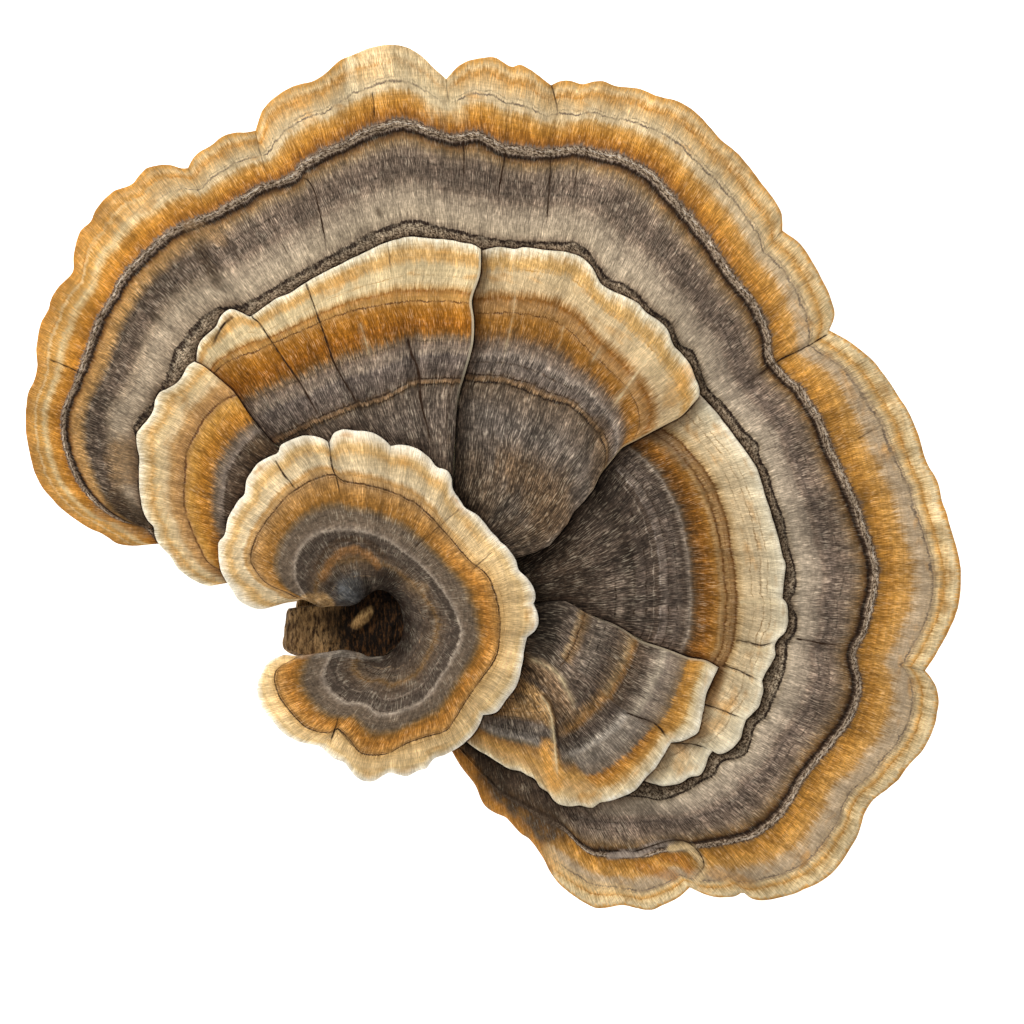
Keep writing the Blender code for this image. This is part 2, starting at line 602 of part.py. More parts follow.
def make_base(collection):
    """The base: a grid rolled round its centre, closed flat at the cut and at the top."""
    sides = 36
    angles = np.linspace(-math.pi, math.pi, sides + 1)
    levels = base_levels(angles)

    def place(row, column):
        radii, height = levels[row]
        column = column % sides
        x = BASE_CENTRE[0] + radii[column] * math.cos(angles[column])
        y = BASE_CENTRE[1] - radii[column] * math.sin(angles[column])
        return placed(x, y, height)

    bm, _ = bent_grid(sides + 1, len(levels), place)
    bmesh.ops.remove_doubles(bm, verts=bm.verts[:], dist=0.00001)
    bmesh.ops.holes_fill(bm, edges=bm.edges[:], sides=0)
    return finished("base", bm, (0.16, 0.11, 0.07), collection)


def clear_scene():
    for item in list(bpy.data.objects):
        bpy.data.objects.remove(item, do_unlink=True)


def main():
    clear_scene()
    collection = bpy.data.collections.new("turkey_tail")
    bpy.context.scene.collection.children.link(collection)
    make_base(collection)
    for name, cap in CAPS.items():
        make_cap(name, cap, collection)


main()
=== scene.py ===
"""Looks of the turkey tail rosette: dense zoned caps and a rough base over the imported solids.

Outlines are plan points in steps of 0.128 mm, x to the right and y towards the front.
"""

import math

import bmesh
import bpy
import numpy as np
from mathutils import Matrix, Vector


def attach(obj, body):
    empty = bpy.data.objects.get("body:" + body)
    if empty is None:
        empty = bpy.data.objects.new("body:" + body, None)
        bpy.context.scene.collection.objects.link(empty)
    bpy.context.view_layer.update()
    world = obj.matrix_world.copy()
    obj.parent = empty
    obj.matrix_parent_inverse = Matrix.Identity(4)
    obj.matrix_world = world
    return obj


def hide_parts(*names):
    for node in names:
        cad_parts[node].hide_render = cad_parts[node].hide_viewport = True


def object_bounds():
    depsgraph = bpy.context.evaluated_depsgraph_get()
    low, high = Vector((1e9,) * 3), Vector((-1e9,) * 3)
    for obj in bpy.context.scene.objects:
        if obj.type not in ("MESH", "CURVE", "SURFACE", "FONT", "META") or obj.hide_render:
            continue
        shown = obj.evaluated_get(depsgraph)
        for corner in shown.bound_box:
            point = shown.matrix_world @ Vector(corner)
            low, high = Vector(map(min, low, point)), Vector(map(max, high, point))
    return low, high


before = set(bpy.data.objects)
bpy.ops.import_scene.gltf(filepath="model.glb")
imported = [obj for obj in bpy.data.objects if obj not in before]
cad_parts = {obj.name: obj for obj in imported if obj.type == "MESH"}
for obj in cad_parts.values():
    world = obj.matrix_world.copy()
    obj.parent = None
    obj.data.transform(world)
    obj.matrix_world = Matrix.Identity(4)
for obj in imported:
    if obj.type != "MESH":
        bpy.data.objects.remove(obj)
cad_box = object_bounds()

MM = 0.001
STEP = 0.128 * MM
STEP_MM = 0.128
MIDDLE = (493.5, 477.5)
HUB = (480.0, 560.0)
NOTCH = 1
LOWEST = np.array(cad_box[0])
HIGHEST = np.array(cad_box[1])

# Outlines of the caps

LOWER_RIM = [
    (155, 540), (148, 544), (133, 546), (118, 544), (108, 538), (100, 533), (88, 528), (70, 516),
    (58, 506), (50, 497), (40, 485), (33, 470), (30, 458), (27, 440), (25, 425), (26, 405),
    (28, 392), (34, 381), (37, 365), (36, 350), (37, 340), (40, 325), (48, 310), (50, 300),
    (60, 285), (70, 275), (73, 268), (73, 255), (76, 240), (80, 230), (90, 221), (95, 210),
    (102, 200), (112, 191), (120, 188), (132, 183), (138, 175), (145, 168), (155, 165),
    (168, 164), (180, 167), (187, 167, NOTCH), (192, 158), (200, 150), (212, 144), (222, 136),
    (235, 132), (245, 132), (255, 130, NOTCH), (258, 120), (263, 108), (275, 96), (290, 87),
    (302, 83), (313, 81), (325, 73), (340, 60), (355, 53), (370, 47), (388, 44), (405, 46),
    (420, 54), (432, 65), (446, 78, NOTCH), (455, 68), (465, 61), (480, 57), (495, 56),
    (511, 65), (520, 63), (530, 68), (540, 75), (551, 84, NOTCH), (560, 80), (570, 79),
    (583, 83), (595, 80), (605, 80), (618, 85), (640, 88), (658, 95), (680, 101), (700, 115),
    (720, 138), (740, 155), (758, 178), (775, 200), (782, 213), (783, 230, NOTCH), (790, 235),
    (800, 243), (815, 265), (825, 285), (832, 300), (835, 315), (830, 330, NOTCH), (845, 338),
    (860, 349), (875, 362), (890, 382), (905, 405), (915, 425), (922, 445), (927, 462),
    (937, 480), (942, 500), (947, 515), (957, 550), (961, 570), (961, 590), (958, 610),
    (952, 625), (943, 643), (935, 658), (926, 671, NOTCH), (932, 678), (938, 690), (940, 703),
    (937, 720), (930, 740), (920, 755), (908, 768), (898, 782), (885, 792), (875, 800),
    (866, 813), (862, 825), (858, 838), (850, 850), (840, 865), (825, 880), (805, 890),
    (785, 897), (765, 901), (752, 899), (743, 893), (735, 897), (720, 898), (705, 895),
    (690, 888, NOTCH), (680, 897), (665, 905), (650, 911), (638, 909), (621, 906), (600, 909),
    (588, 905), (575, 897), (560, 885), (550, 872), (543, 858), (530, 840), (520, 833),
    (510, 822), (505, 817), (495, 813), (485, 806), (480, 797), (475, 785), (465, 772),
    (458, 762), (451, 750), (444, 738),
]
LOWER_OUTER_LINE = [
    (166, 544), (152, 527), (135, 524), (120, 518), (105, 508), (92, 495), (82, 480), (75, 465),
    (70, 450), (67, 435), (67, 420), (70, 405), (78, 390), (83, 378), (90, 360), (95, 345),
    (100, 330), (108, 312), (118, 298), (125, 285), (135, 272), (150, 256), (165, 244),
    (180, 233), (200, 225), (220, 216), (240, 205), (260, 193), (280, 186), (297, 180),
    (302, 172), (320, 162), (345, 150), (360, 142), (380, 133), (400, 129), (420, 133),
    (445, 141), (460, 142), (480, 140), (505, 153), (550, 156), (575, 153), (600, 158),
    (620, 163), (640, 172), (655, 185), (670, 203), (690, 225), (705, 245), (715, 260),
    (730, 282), (748, 302), (758, 320), (764, 340), (766, 358), (780, 378), (795, 392),
    (808, 410), (818, 430), (827, 455), (838, 480), (848, 503), (858, 530), (867, 555),
    (870, 580), (866, 605), (858, 632), (850, 648), (850, 665), (854, 680), (853, 697),
    (845, 717), (832, 735), (815, 757), (798, 778), (785, 800), (770, 818), (750, 832),
    (725, 838), (697, 843), (665, 848), (640, 853), (600, 852), (585, 847), (572, 835),
    (560, 822), (545, 815), (522, 803), (500, 790), (480, 770), (460, 748), (443, 728),
]
LOWER_INNER_LINE = [
    (190, 553), (164, 532), (150, 505), (142, 470), (138, 448), (133, 430), (135, 420),
    (148, 408), (155, 400), (162, 385), (168, 370), (175, 350), (183, 340), (190, 328),
    (200, 319), (215, 310), (230, 306), (245, 304), (258, 297), (280, 284), (300, 272),
    (325, 258), (350, 244), (375, 231), (400, 222), (420, 220), (440, 226), (460, 231),
    (480, 236), (500, 240), (530, 242), (565, 242), (578, 244), (590, 253), (600, 268),
    (610, 280), (625, 284), (640, 295), (650, 308), (665, 317), (672, 325), (680, 343),
    (692, 350), (698, 362), (703, 380), (712, 392), (722, 402), (735, 417), (748, 432),
    (758, 445), (760, 458), (768, 472), (775, 497), (783, 518), (787, 540), (792, 558),
    (796, 575), (795, 590), (790, 602), (797, 618), (795, 635), (788, 645), (787, 660),
    (782, 680), (774, 700), (768, 715), (755, 728), (745, 755), (722, 762), (715, 775),
    (700, 782), (680, 795), (660, 800), (640, 797), (600, 795), (560, 784), (520, 762),
    (480, 735), (442, 712),
]
LOWER_ROOT = [
    (346, 582), (358, 540), (387, 490), (434, 469), (478, 482), (500, 520), (508, 560),
    (512, 602), (503, 648), (474, 677), (440, 687),
]
LOWER_START = [(346, 582), (300, 587), (232, 568), (190, 553), (166, 544), (155, 540)]

LEFT_RIM = [
    (195, 362), (188, 367), (183, 376), (177, 383), (168, 389), (160, 393), (156, 400),
    (154, 410), (148, 420), (142, 427), (137, 435), (138, 448), (140, 460), (139, 480),
    (140, 495), (143, 510), (148, 520), (154, 527), (155, 535), (160, 545), (170, 556),
    (178, 568), (190, 578), (200, 583), (210, 586), (220, 583), (230, 579), (242, 577),
]
LEFT_LINE = [
    (238, 396), (225, 402), (210, 415), (200, 430), (190, 450), (187, 470), (186, 500),
    (190, 520), (200, 545), (214, 566), (256, 580),
]
LEFT_ROOT = [(396, 498), (376, 520), (366, 550), (362, 578)]
LEFT_START = [
    (396, 498), (340, 480), (285, 452), (262, 430), (248, 412), (235, 393), (222, 381),
    (205, 367), (195, 362),
]
LEFT_END = [(362, 578), (300, 588), (242, 577)]

MIDDLE_RIM = [
    (197, 368), (197, 355), (199, 344), (203, 338), (215, 328), (220, 318), (225, 312),
    (232, 309), (242, 313), (250, 317, NOTCH), (258, 312), (275, 300), (290, 293),
    (305, 283, NOTCH), (310, 280), (330, 270), (350, 260), (370, 250), (386, 243), (395, 240),
    (410, 237), (425, 238), (445, 240), (465, 243), (475, 246), (481, 250),
]
MIDDLE_OUTER_LINE = [
    (208, 382), (222, 366), (240, 356), (262, 348), (290, 336), (320, 323), (350, 311),
    (390, 303), (430, 301), (472, 303),
]
MIDDLE_INNER_LINE = [
    (262, 446), (290, 430), (320, 418), (350, 405), (380, 398), (400, 388), (420, 380),
    (464, 379),
]
MIDDLE_ROOT = [(404, 518), (420, 508), (440, 506), (456, 512)]
MIDDLE_START = [
    (404, 518), (340, 492), (280, 462), (250, 435), (232, 412), (218, 394), (206, 380),
    (197, 368),
]
MIDDLE_END = [
    (456, 512), (453, 470), (455, 440), (458, 400), (465, 375), (473, 345), (474, 320),
    (472, 300), (480, 275), (481, 250),
]

INNER_RIGHT_RIM = [
    (460, 264), (468, 256), (482, 250), (500, 247), (515, 249), (525, 247), (545, 250),
    (565, 252), (580, 257), (592, 267), (600, 282), (610, 290), (625, 297), (637, 303),
    (645, 312), (660, 322), (668, 332), (673, 345), (682, 355), (690, 365), (695, 378),
    (699, 390), (698, 398),
]
INNER_RIGHT_OUTER_LINE = [
    (460, 305), (480, 305), (500, 304), (530, 306), (555, 312), (575, 325), (592, 345),
    (610, 362), (628, 380), (640, 398), (644, 420), (637, 439),
]
INNER_RIGHT_INNER_LINE = [
    (452, 380), (470, 380), (500, 382), (540, 395), (570, 405), (590, 425), (603, 445),
    (602, 468),
]
INNER_RIGHT_ROOT = [(440, 506), (460, 512), (478, 526), (488, 545), (496, 562)]
INNER_RIGHT_START = [
    (440, 506), (444, 470), (445, 430), (447, 400), (453, 375), (460, 340), (460, 300),
    (460, 264),
]
INNER_RIGHT_END = [
    (496, 562), (520, 557), (538, 551), (550, 545), (560, 533), (570, 520), (575, 510),
    (585, 500), (595, 487), (600, 475), (612, 460), (622, 448), (637, 440), (650, 433),
    (665, 425), (680, 417), (690, 407), (698, 398),
]

RIGHT_RIM = [
    (688, 384), (700, 395), (710, 405), (722, 420), (735, 437), (748, 455), (757, 470),
    (763, 490), (770, 510), (777, 535), (782, 555), (785, 565), (784, 580), (782, 598, NOTCH),
    (787, 605), (788, 620), (785, 632), (778, 639, NOTCH), (775, 645), (775, 655), (770, 665),
    (765, 675), (762, 681, NOTCH), (763, 690), (761, 700), (758, 708), (746, 720, NOTCH),
    (743, 730), (740, 740), (730, 750), (720, 754), (712, 751, NOTCH), (708, 758), (705, 768),
    (700, 775), (690, 777), (680, 783), (665, 786), (655, 784), (643, 780), (630, 772),
]
RIGHT_OUTER_LINE = [
    (645, 424), (665, 435), (690, 455), (715, 490), (728, 530), (735, 570), (738, 600),
    (735, 640), (725, 665), (706, 694), (680, 716), (650, 728), (614, 744),
]
RIGHT_INNER_LINE = [
    (584, 470), (610, 470), (636, 500), (652, 540), (656, 580), (654, 625), (640, 660),
    (610, 690), (575, 706),
]
RIGHT_ROOT = [
    (492, 526), (498, 545), (503, 575), (505, 602), (500, 635), (486, 662),
]
RIGHT_START = [
    (492, 526), (540, 505), (575, 480), (600, 448), (640, 420), (672, 396), (688, 384),
]
RIGHT_END = [(486, 662), (530, 690), (590, 722), (630, 772)]

FRONT_RIM = [
    (718, 667), (712, 680), (706, 695), (703, 710), (700, 725), (697, 733), (688, 738),
    (680, 741), (671, 742, NOTCH), (667, 748), (663, 755), (655, 767), (645, 778), (635, 790),
    (625, 795), (610, 800), (600, 802), (592, 807), (580, 805), (570, 806), (560, 804),
    (553, 799), (548, 792), (540, 787), (535, 779), (527, 775), (520, 771), (510, 769),
    (500, 763), (490, 757), (480, 751), (470, 744), (456, 734),
]
FRONT_OUTER_LINE = [
    (676, 652), (668, 680), (655, 705), (642, 722), (622, 742), (598, 758), (575, 766),
    (558, 762), (540, 750), (515, 744), (490, 736), (470, 722), (454, 712),
]
FRONT_INNER_LINE = [
    (600, 619), (590, 645), (578, 668), (560, 690), (545, 704), (528, 708), (505, 708),
    (480, 704), (454, 698),
]
FRONT_ROOT = [(508, 604), (507, 625), (500, 645), (488, 662), (470, 676), (452, 684)]
FRONT_START = [
    (508, 604), (537, 603), (550, 601), (565, 601), (575, 606), (585, 612), (600, 619),
    (612, 623), (625, 630), (640, 640), (655, 645), (670, 650), (685, 656), (692, 658),
    (705, 660), (718, 667),
]
FRONT_END = [(452, 684), (454, 710), (456, 734)]

CROWN_RIM = [
    (297, 601), (285, 603), (275, 606), (262, 609), (250, 606), (240, 600), (235, 593),
    (228, 582), (222, 570), (220, 555), (220, 543), (226, 535), (228, 522), (232, 512),
    (240, 500), (246, 494), (248, 480), (253, 472), (260, 463), (270, 457), (279, 453),
    (282, 446), (290, 441), (300, 437), (310, 436), (322, 438), (330, 443, NOTCH), (332, 438),
    (336, 433), (345, 430), (360, 431), (375, 434), (385, 440), (391, 446, NOTCH), (400, 445),
    (410, 446), (420, 450), (430, 458), (437, 467), (447, 471), (452, 478), (453, 488),
    (460, 500), (466, 508), (480, 517), (490, 530), (500, 541), (510, 550), (516, 560),
    (519, 570), (528, 578), (534, 590), (535, 598), (533, 603, NOTCH), (537, 612), (538, 622),
    (535, 630), (527, 637, NOTCH), (525, 645), (523, 660), (520, 675), (515, 688), (505, 700),
    (498, 710), (492, 713), (483, 714, NOTCH), (480, 722), (475, 732), (465, 742), (455, 749),
    (445, 754), (434, 758), (427, 767), (418, 770), (408, 775), (398, 774), (390, 772),
    (383, 775), (375, 780), (365, 780), (357, 776), (350, 768), (345, 762), (335, 758),
    (327, 752), (320, 746), (300, 741), (285, 733), (275, 722), (267, 713), (262, 705),
    (259, 695), (258, 685), (261, 675), (266, 665), (275, 658), (285, 654),
]
CROWN_OUTER_LINE = [
    (303, 599), (288, 592), (270, 584), (258, 572), (252, 558), (256, 540), (268, 520),
    (285, 500), (300, 488), (320, 478), (335, 475), (345, 481), (380, 488), (410, 500),
    (430, 515), (455, 543), (470, 560), (485, 572), (495, 590), (500, 620), (499, 645),
    (493, 662), (480, 680), (466, 700), (455, 718), (445, 730), (420, 737), (405, 743),
    (385, 753), (362, 752), (350, 738), (338, 728), (330, 732), (310, 728), (297, 717),
    (285, 703), (278, 690), (277, 670), (300, 655),
]
CROWN_INNER_LINE = [
    (314, 603), (303, 590), (296, 575), (298, 555), (310, 538), (330, 530), (360, 530),
    (385, 538), (410, 555), (432, 575), (450, 600), (462, 630), (455, 655), (440, 680),
    (425, 700), (400, 712), (380, 715), (365, 705), (345, 703), (330, 690), (324, 675),
    (334, 651),
]
CROWN_ROOT = [
    (334, 604), (347, 606), (358, 603), (367, 596), (377, 590), (388, 592), (398, 602),
    (403, 616), (404, 632), (400, 643),
]
CROWN_START = [(334, 604), (322, 607), (312, 602), (303, 599), (297, 601)]
CROWN_END = [
    (400, 643), (393, 651), (385, 655), (370, 656), (360, 652), (345, 649), (330, 651),
    (315, 653), (300, 655), (285, 654),
]

# Outlines of the base, from the flat cut up to the hollow under the crown

BASE_CENTRE = (425, 600)
FOOT = [
    (620, 540), (622, 600), (600, 655), (545, 698), (470, 712), (400, 700), (330, 684),
    (294, 652), (293, 620), (302, 560), (320, 490), (360, 435), (420, 400), (500, 392),
    (572, 420), (608, 475),
]
NECK = [
    (490, 560), (495, 600), (488, 640), (465, 662), (420, 672), (340, 668), (300, 656),
    (285, 647), (287, 625), (293, 606), (330, 602), (362, 598), (382, 548), (406, 506),
    (435, 484), (465, 495), (482, 525),
]
SHOULDER = [
    (452, 560), (462, 600), (452, 640), (435, 654), (400, 662), (340, 664), (300, 654),
    (287, 646), (289, 625), (295, 608), (330, 604), (354, 598), (380, 570), (405, 545),
    (430, 540),
]
LEDGE = 6.1
SHELF = 11.0


# Lines in plan

def smooth_run(points, fineness):
    """A line curving through every point of one run."""
    run = np.array([point[:2] for point in points], float)
    if len(run) < 3:
        return np.linspace(run[0], run[-1], fineness + 1)
    ends = np.vstack([2 * run[0] - run[1], run, 2 * run[-1] - run[-2]])
    share = np.linspace(0, 1, fineness, endpoint=False)[:, None]
    pieces = []
    for a, b, c, d in zip(ends, ends[1:], ends[2:], ends[3:]):
        pieces.append(
            0.5 * (2 * b + (c - a) * share + (2 * a - 5 * b + 4 * c - d) * share**2
                   + (3 * b - a - 3 * c + d) * share**3)
        )
    return np.vstack(pieces + [run[-1:]])


def runs_of(points):
    """The stretches of an outline between its sharp notches."""
    runs = [[points[0]]]
    for point in points[1:]:
        runs[-1].append(point)
        if len(point) > 2:
            runs.append([point])
    return [run for run in runs if len(run) > 1]


def lengths_along(line):
    """How far each point lies along the line."""
    return np.concatenate([[0], np.cumsum(np.linalg.norm(np.diff(line, axis=0), axis=1))])


def spaced(line, count):
    """The line again, as evenly spaced points."""
    along = lengths_along(line)
    wanted = np.linspace(0, along[-1], count + 1)
    return np.stack([np.interp(wanted, along, line[:, axis]) for axis in (0, 1)], axis=1)


def rim_columns(rim, spacing):
    """Points along a rim, one of them on each notch, and the places of the notches."""
    pieces = []
    notches = []
    for run in runs_of(rim):
        line = smooth_run(run, 6)
        count = max(2, round(lengths_along(line)[-1] / spacing))
        pieces.append(spaced(line, count)[:-1])
        notches.append(sum(len(piece) for piece in pieces))
    last = np.array([rim[-1][:2]], float)
    columns = np.vstack(pieces + [last])
    along = lengths_along(columns)
    return columns, along, along[notches[:-1]]


def turn_along(line, centre):
    """How far round the centre each point lies, from 0 at the start to 1 at the end."""
    angle = np.unwrap(np.arctan2(centre[1] - line[:, 1], line[:, 0] - centre[0]))
    turn = np.maximum.accumulate((angle - angle[0]) * np.sign(angle[-1] - angle[0]))
    along = lengths_along(line)
    return 0.9 * turn / turn[-1] + 0.1 * along / along[-1]


def at_turn(line, centre, turn):
    """The points of a line that lie this far round."""
    own = turn_along(line, centre)
    return np.stack([np.interp(turn, own, line[:, axis]) for axis in (0, 1)], axis=1)


def nearest_share(line, point):
    """Where along the line, from 0 to 1, it comes nearest to the point."""
    along = lengths_along(line)
    return along[np.argmin(np.linalg.norm(line - point, axis=1))] / along[-1]


def side_points(side, shares, levels, rows):
    """Points down one side edge, level with the growth lines that end on it."""
    line = spaced(smooth_run(side, 8), 400)
    ends = [nearest_share(line, end) for end in levels]
    ends[0], ends[-1] = 0.0, 1.0
    ends = np.maximum.accumulate(ends)
    wanted = np.interp(rows, shares, ends) * 400
    return np.stack([np.interp(wanted, np.arange(401), line[:, axis]) for axis in (0, 1)], axis=1)


def sheet(outline, spacing, rows):
    """Plan points of a cap: growth rows from root to rim, columns from side to side."""
    columns, along, notches = rim_columns(outline["rim"], spacing)
    turn = turn_along(columns, outline["centre"])
    lines = []
    for points in outline["lines"]:
        lines.append(at_turn(smooth_run(points, 6), outline["centre"], turn))
    lines.append(columns)
    lines = np.array(lines)
    shares = np.array(outline["shares"])
    plan = np.empty((len(rows), len(columns), 2))
    for axis in (0, 1):
        for column in range(len(columns)):
            plan[:, column, axis] = np.interp(rows, shares, lines[:, column, axis])
    across = along / along[-1]
    for side, end, weight in (("start", 0, 1 - across), ("end", -1, across)):
        if side in outline:
            wanted = side_points(outline[side], shares, lines[:, end], rows)
            plan += weight[None, :, None] * (wanted - plan[:, end])[:, None]
    return plan, along, notches


# Heights, in millimetres

def ease(value, low, high):
    """0 below low and 1 above high, with a smooth rise between."""
    share = np.clip((value - low) / (high - low), 0, 1)
    return share * share * (3 - 2 * share)


def common_wave(x, y):
    """The gentle dome and waves that all the caps share, so that none meets another."""
    away = np.hypot(x - HUB[0], y - HUB[1]) / 400
    angle = np.arctan2(HUB[1] - y, x - HUB[0])
    wave = 0.7 * np.sin(3 * angle + 0.6) * away**1.5 + 0.6 * np.sin(7 * angle + 1.3) * away**3
    return wave - 1.4 * away**2


def lobes(along, notches, width):
    """0 at each notch of the rim, rising to 1 between them."""
    swell = np.ones_like(along)
    for notch in notches:
        swell = np.minimum(swell, 1 - np.exp(-(((along - notch) / width) ** 2)))
    return swell


def profile(rows, heights):
    """A smooth height from root to rim through (share, height) pairs."""
    shares = [share for share, _ in heights]
    values = [value for _, value in heights]
    fine = np.linspace(0, 1, 201)
    rough = np.interp(fine, shares, values)
    kernel = np.ones(21) / 21
    padded = np.pad(rough, 10, mode="reflect", reflect_type="odd")
    return np.interp(rows, fine, np.convolve(padded, kernel, "valid"))


def thickness_at(rows, root, rim):
    """A cap is thickest at its root and thin at its rim."""
    return root + (rim - root) * ease(rows, 0.1, 1.0)


def near_line(x, y, points, width):
    """1 on a line of plan points, fading to 0 over the width."""
    line = spaced(smooth_run(points, 6), 60)
    distance = np.min(
        np.hypot(x[..., None] - line[:, 0], y[..., None] - line[:, 1]), axis=-1
    )
    return np.exp(-((distance / width) ** 2))


def lower_height(rows, across, swell, x, y):
    top = profile(rows, [(0, 8.4), (0.42, 10.0), (0.75, 10.2), (1, 9.5)])
    return top[:, None] + 0.7 * ease(rows, 0.6, 1)[:, None] * (swell[None] - 0.6)


def left_height(rows, across, swell, x, y):
    near = profile(rows, [(0, 15.8), (0.5, 15.0), (0.8, 14.0), (1, 13.2)])
    far = profile(rows, [(0, 13.4), (0.5, 13.3), (0.8, 12.4), (1, 11.5)])
    blend = ease(across, 0.1, 0.45)[None]
    return near[:, None] * (1 - blend) + far[:, None] * blend


def middle_height(rows, across, swell, x, y):
    near = profile(rows, [(0, 13.0), (0.5, 12.9), (0.8, 12.2), (1, 11.6)])
    far = profile(rows, [(0, 15.2), (0.5, 14.9), (0.8, 13.9), (1, 12.7)])
    mid = profile(rows, [(0, 14.6), (0.5, 13.9), (0.8, 12.6), (1, 11.4)])
    first = ease(across, 0.15, 0.45)[None]
    second = ease(across, 0.7, 1.0)[None]
    top = near[:, None] * (1 - first) + mid[:, None] * first
    return top * (1 - second) + far[:, None] * second + 0.3 * (swell[None] - 0.6) * rows[:, None]


def inner_right_height(rows, across, swell, x, y):
    near = profile(rows, [(0, 12.7), (0.5, 12.8), (0.8, 12.0), (1, 11.2)])
    far = profile(rows, [(0, 13.2), (0.3, 14.0), (0.8, 14.0), (1, 12.9)])
    blend = ease(across, 0.35, 0.9)[None]
    return near[:, None] * (1 - blend) + far[:, None] * blend


def right_height(rows, across, swell, x, y):
    top = profile(rows, [(0, 10.3), (0.3, 11.4), (0.6, 12.2), (0.85, 12.0), (1, 11.3)])
    return top[:, None] + 0.25 * (swell[None] - 0.6) * rows[:, None]


def front_height(rows, across, swell, x, y):
    near = profile(rows, [(0, 12.4), (0.5, 13.8), (0.8, 13.8), (1, 13.2)])
    far = profile(rows, [(0, 12.6), (0.5, 13.0), (0.8, 12.4), (1, 11.6)])
    blend = ease(across, 0.45, 0.8)[None]
    top = near[:, None] * (1 - blend) + far[:, None] * blend
    fold = near_line(x, y, [(512, 688), (538, 698), (552, 725), (557, 755), (562, 796)], 13)
    crest = near_line(x, y, [(530, 660), (560, 678), (575, 702), (590, 726)], 12)
    return top + 1.3 * fold + 0.8 * crest


def crown_height(rows, across, swell, x, y):
    top = profile(rows, [(0, 14.4), (0.2, 16.6), (0.42, 18.6), (0.7, 18.6), (1, 16.4)])
    knob = np.exp(-((np.hypot(x - 350, y - 590) / 15) ** 2))
    return top[:, None] + 0.5 * (swell[None] - 0.6) * rows[:, None] + 1.6 * knob


CAPS = {
    "lower_cap": {
        "centre": (480, 560), "rim": LOWER_RIM,
        "lines": [LOWER_ROOT, LOWER_INNER_LINE, LOWER_OUTER_LINE],
        "shares": [0, 0.42, 0.75, 1], "start": LOWER_START,
        "height": lower_height, "thickness": (1.6, 0.6), "wave": 30,
    },
    "left_cap": {
        "centre": (420, 520), "rim": LEFT_RIM, "lines": [LEFT_ROOT, LEFT_LINE],
        "shares": [0, 0.78, 1], "start": LEFT_START, "end": LEFT_END,
        "height": left_height, "thickness": (1.4, 0.7), "wave": 14,
    },
    "middle_cap": {
        "centre": (450, 570), "rim": MIDDLE_RIM,
        "lines": [MIDDLE_ROOT, MIDDLE_INNER_LINE, MIDDLE_OUTER_LINE],
        "shares": [0, 0.48, 0.78, 1], "start": MIDDLE_START, "end": MIDDLE_END,
        "height": middle_height, "thickness": (1.4, 0.7), "wave": 14,
    },
    "inner_right_cap": {
        "centre": (470, 560), "rim": INNER_RIGHT_RIM,
        "lines": [INNER_RIGHT_ROOT, INNER_RIGHT_INNER_LINE, INNER_RIGHT_OUTER_LINE],
        "shares": [0, 0.5, 0.8, 1], "start": INNER_RIGHT_START, "end": INNER_RIGHT_END,
        "height": inner_right_height, "thickness": (1.2, 0.7), "wave": 14,
    },
    "right_cap": {
        "centre": (500, 600), "rim": RIGHT_RIM,
        "lines": [RIGHT_ROOT, RIGHT_INNER_LINE, RIGHT_OUTER_LINE],
        "shares": [0, 0.55, 0.82, 1], "start": RIGHT_START, "end": RIGHT_END,
        "height": right_height, "thickness": (1.3, 0.7), "wave": 12,
    },
    "front_cap": {
        "centre": (480, 640), "rim": FRONT_RIM,
        "lines": [FRONT_ROOT, FRONT_INNER_LINE, FRONT_OUTER_LINE],
        "shares": [0, 0.45, 0.8, 1], "start": FRONT_START, "end": FRONT_END,
        "height": front_height, "thickness": (1.3, 0.7), "wave": 12,
    },
    "crown_cap": {
        "centre": (378, 618), "rim": CROWN_RIM,
        "lines": [CROWN_ROOT, CROWN_INNER_LINE, CROWN_OUTER_LINE],
        "shares": [0, 0.42, 0.74, 1], "start": CROWN_START, "end": CROWN_END,
        "height": crown_height, "thickness": (1.4, 0.8), "wave": 12,
    },
}


def ring_radii(outline, angles):
    """How far an outline of the base lies from its centre, at each angle."""
    line = smooth_run(outline + [outline[0]], 6)
    own = np.arctan2(BASE_CENTRE[1] - line[:, 1], line[:, 0] - BASE_CENTRE[0])
    far = np.hypot(line[:, 0] - BASE_CENTRE[0], line[:, 1] - BASE_CENTRE[1])
    order = np.argsort(own)
    return np.interp(angles, own[order], far[order], period=2 * math.pi)


def base_levels(angles):
    """The base's outlines and heights, from the cut upwards and in to the hollow."""
    foot, neck, shoulder = (ring_radii(line, angles) for line in (FOOT, NECK, SHOULDER))
    return [
        (foot * 0.8, 0.0), (foot * 0.84, 1.0), (foot * 0.9, 3.0), (foot, LEDGE - 0.8),
        (foot * 0.98, LEDGE), (neck + 3, LEDGE + 0.1), (neck, LEDGE + 1.2),
        (neck, SHELF - 0.6), (neck * 0.98, SHELF), (shoulder + 2, SHELF + 0.1),
        (shoulder, SHELF + 0.8), (shoulder * 0.94, 12.6), (shoulder * 0.7, 12.4),
        (shoulder * 0.35, 12.2),
    ]
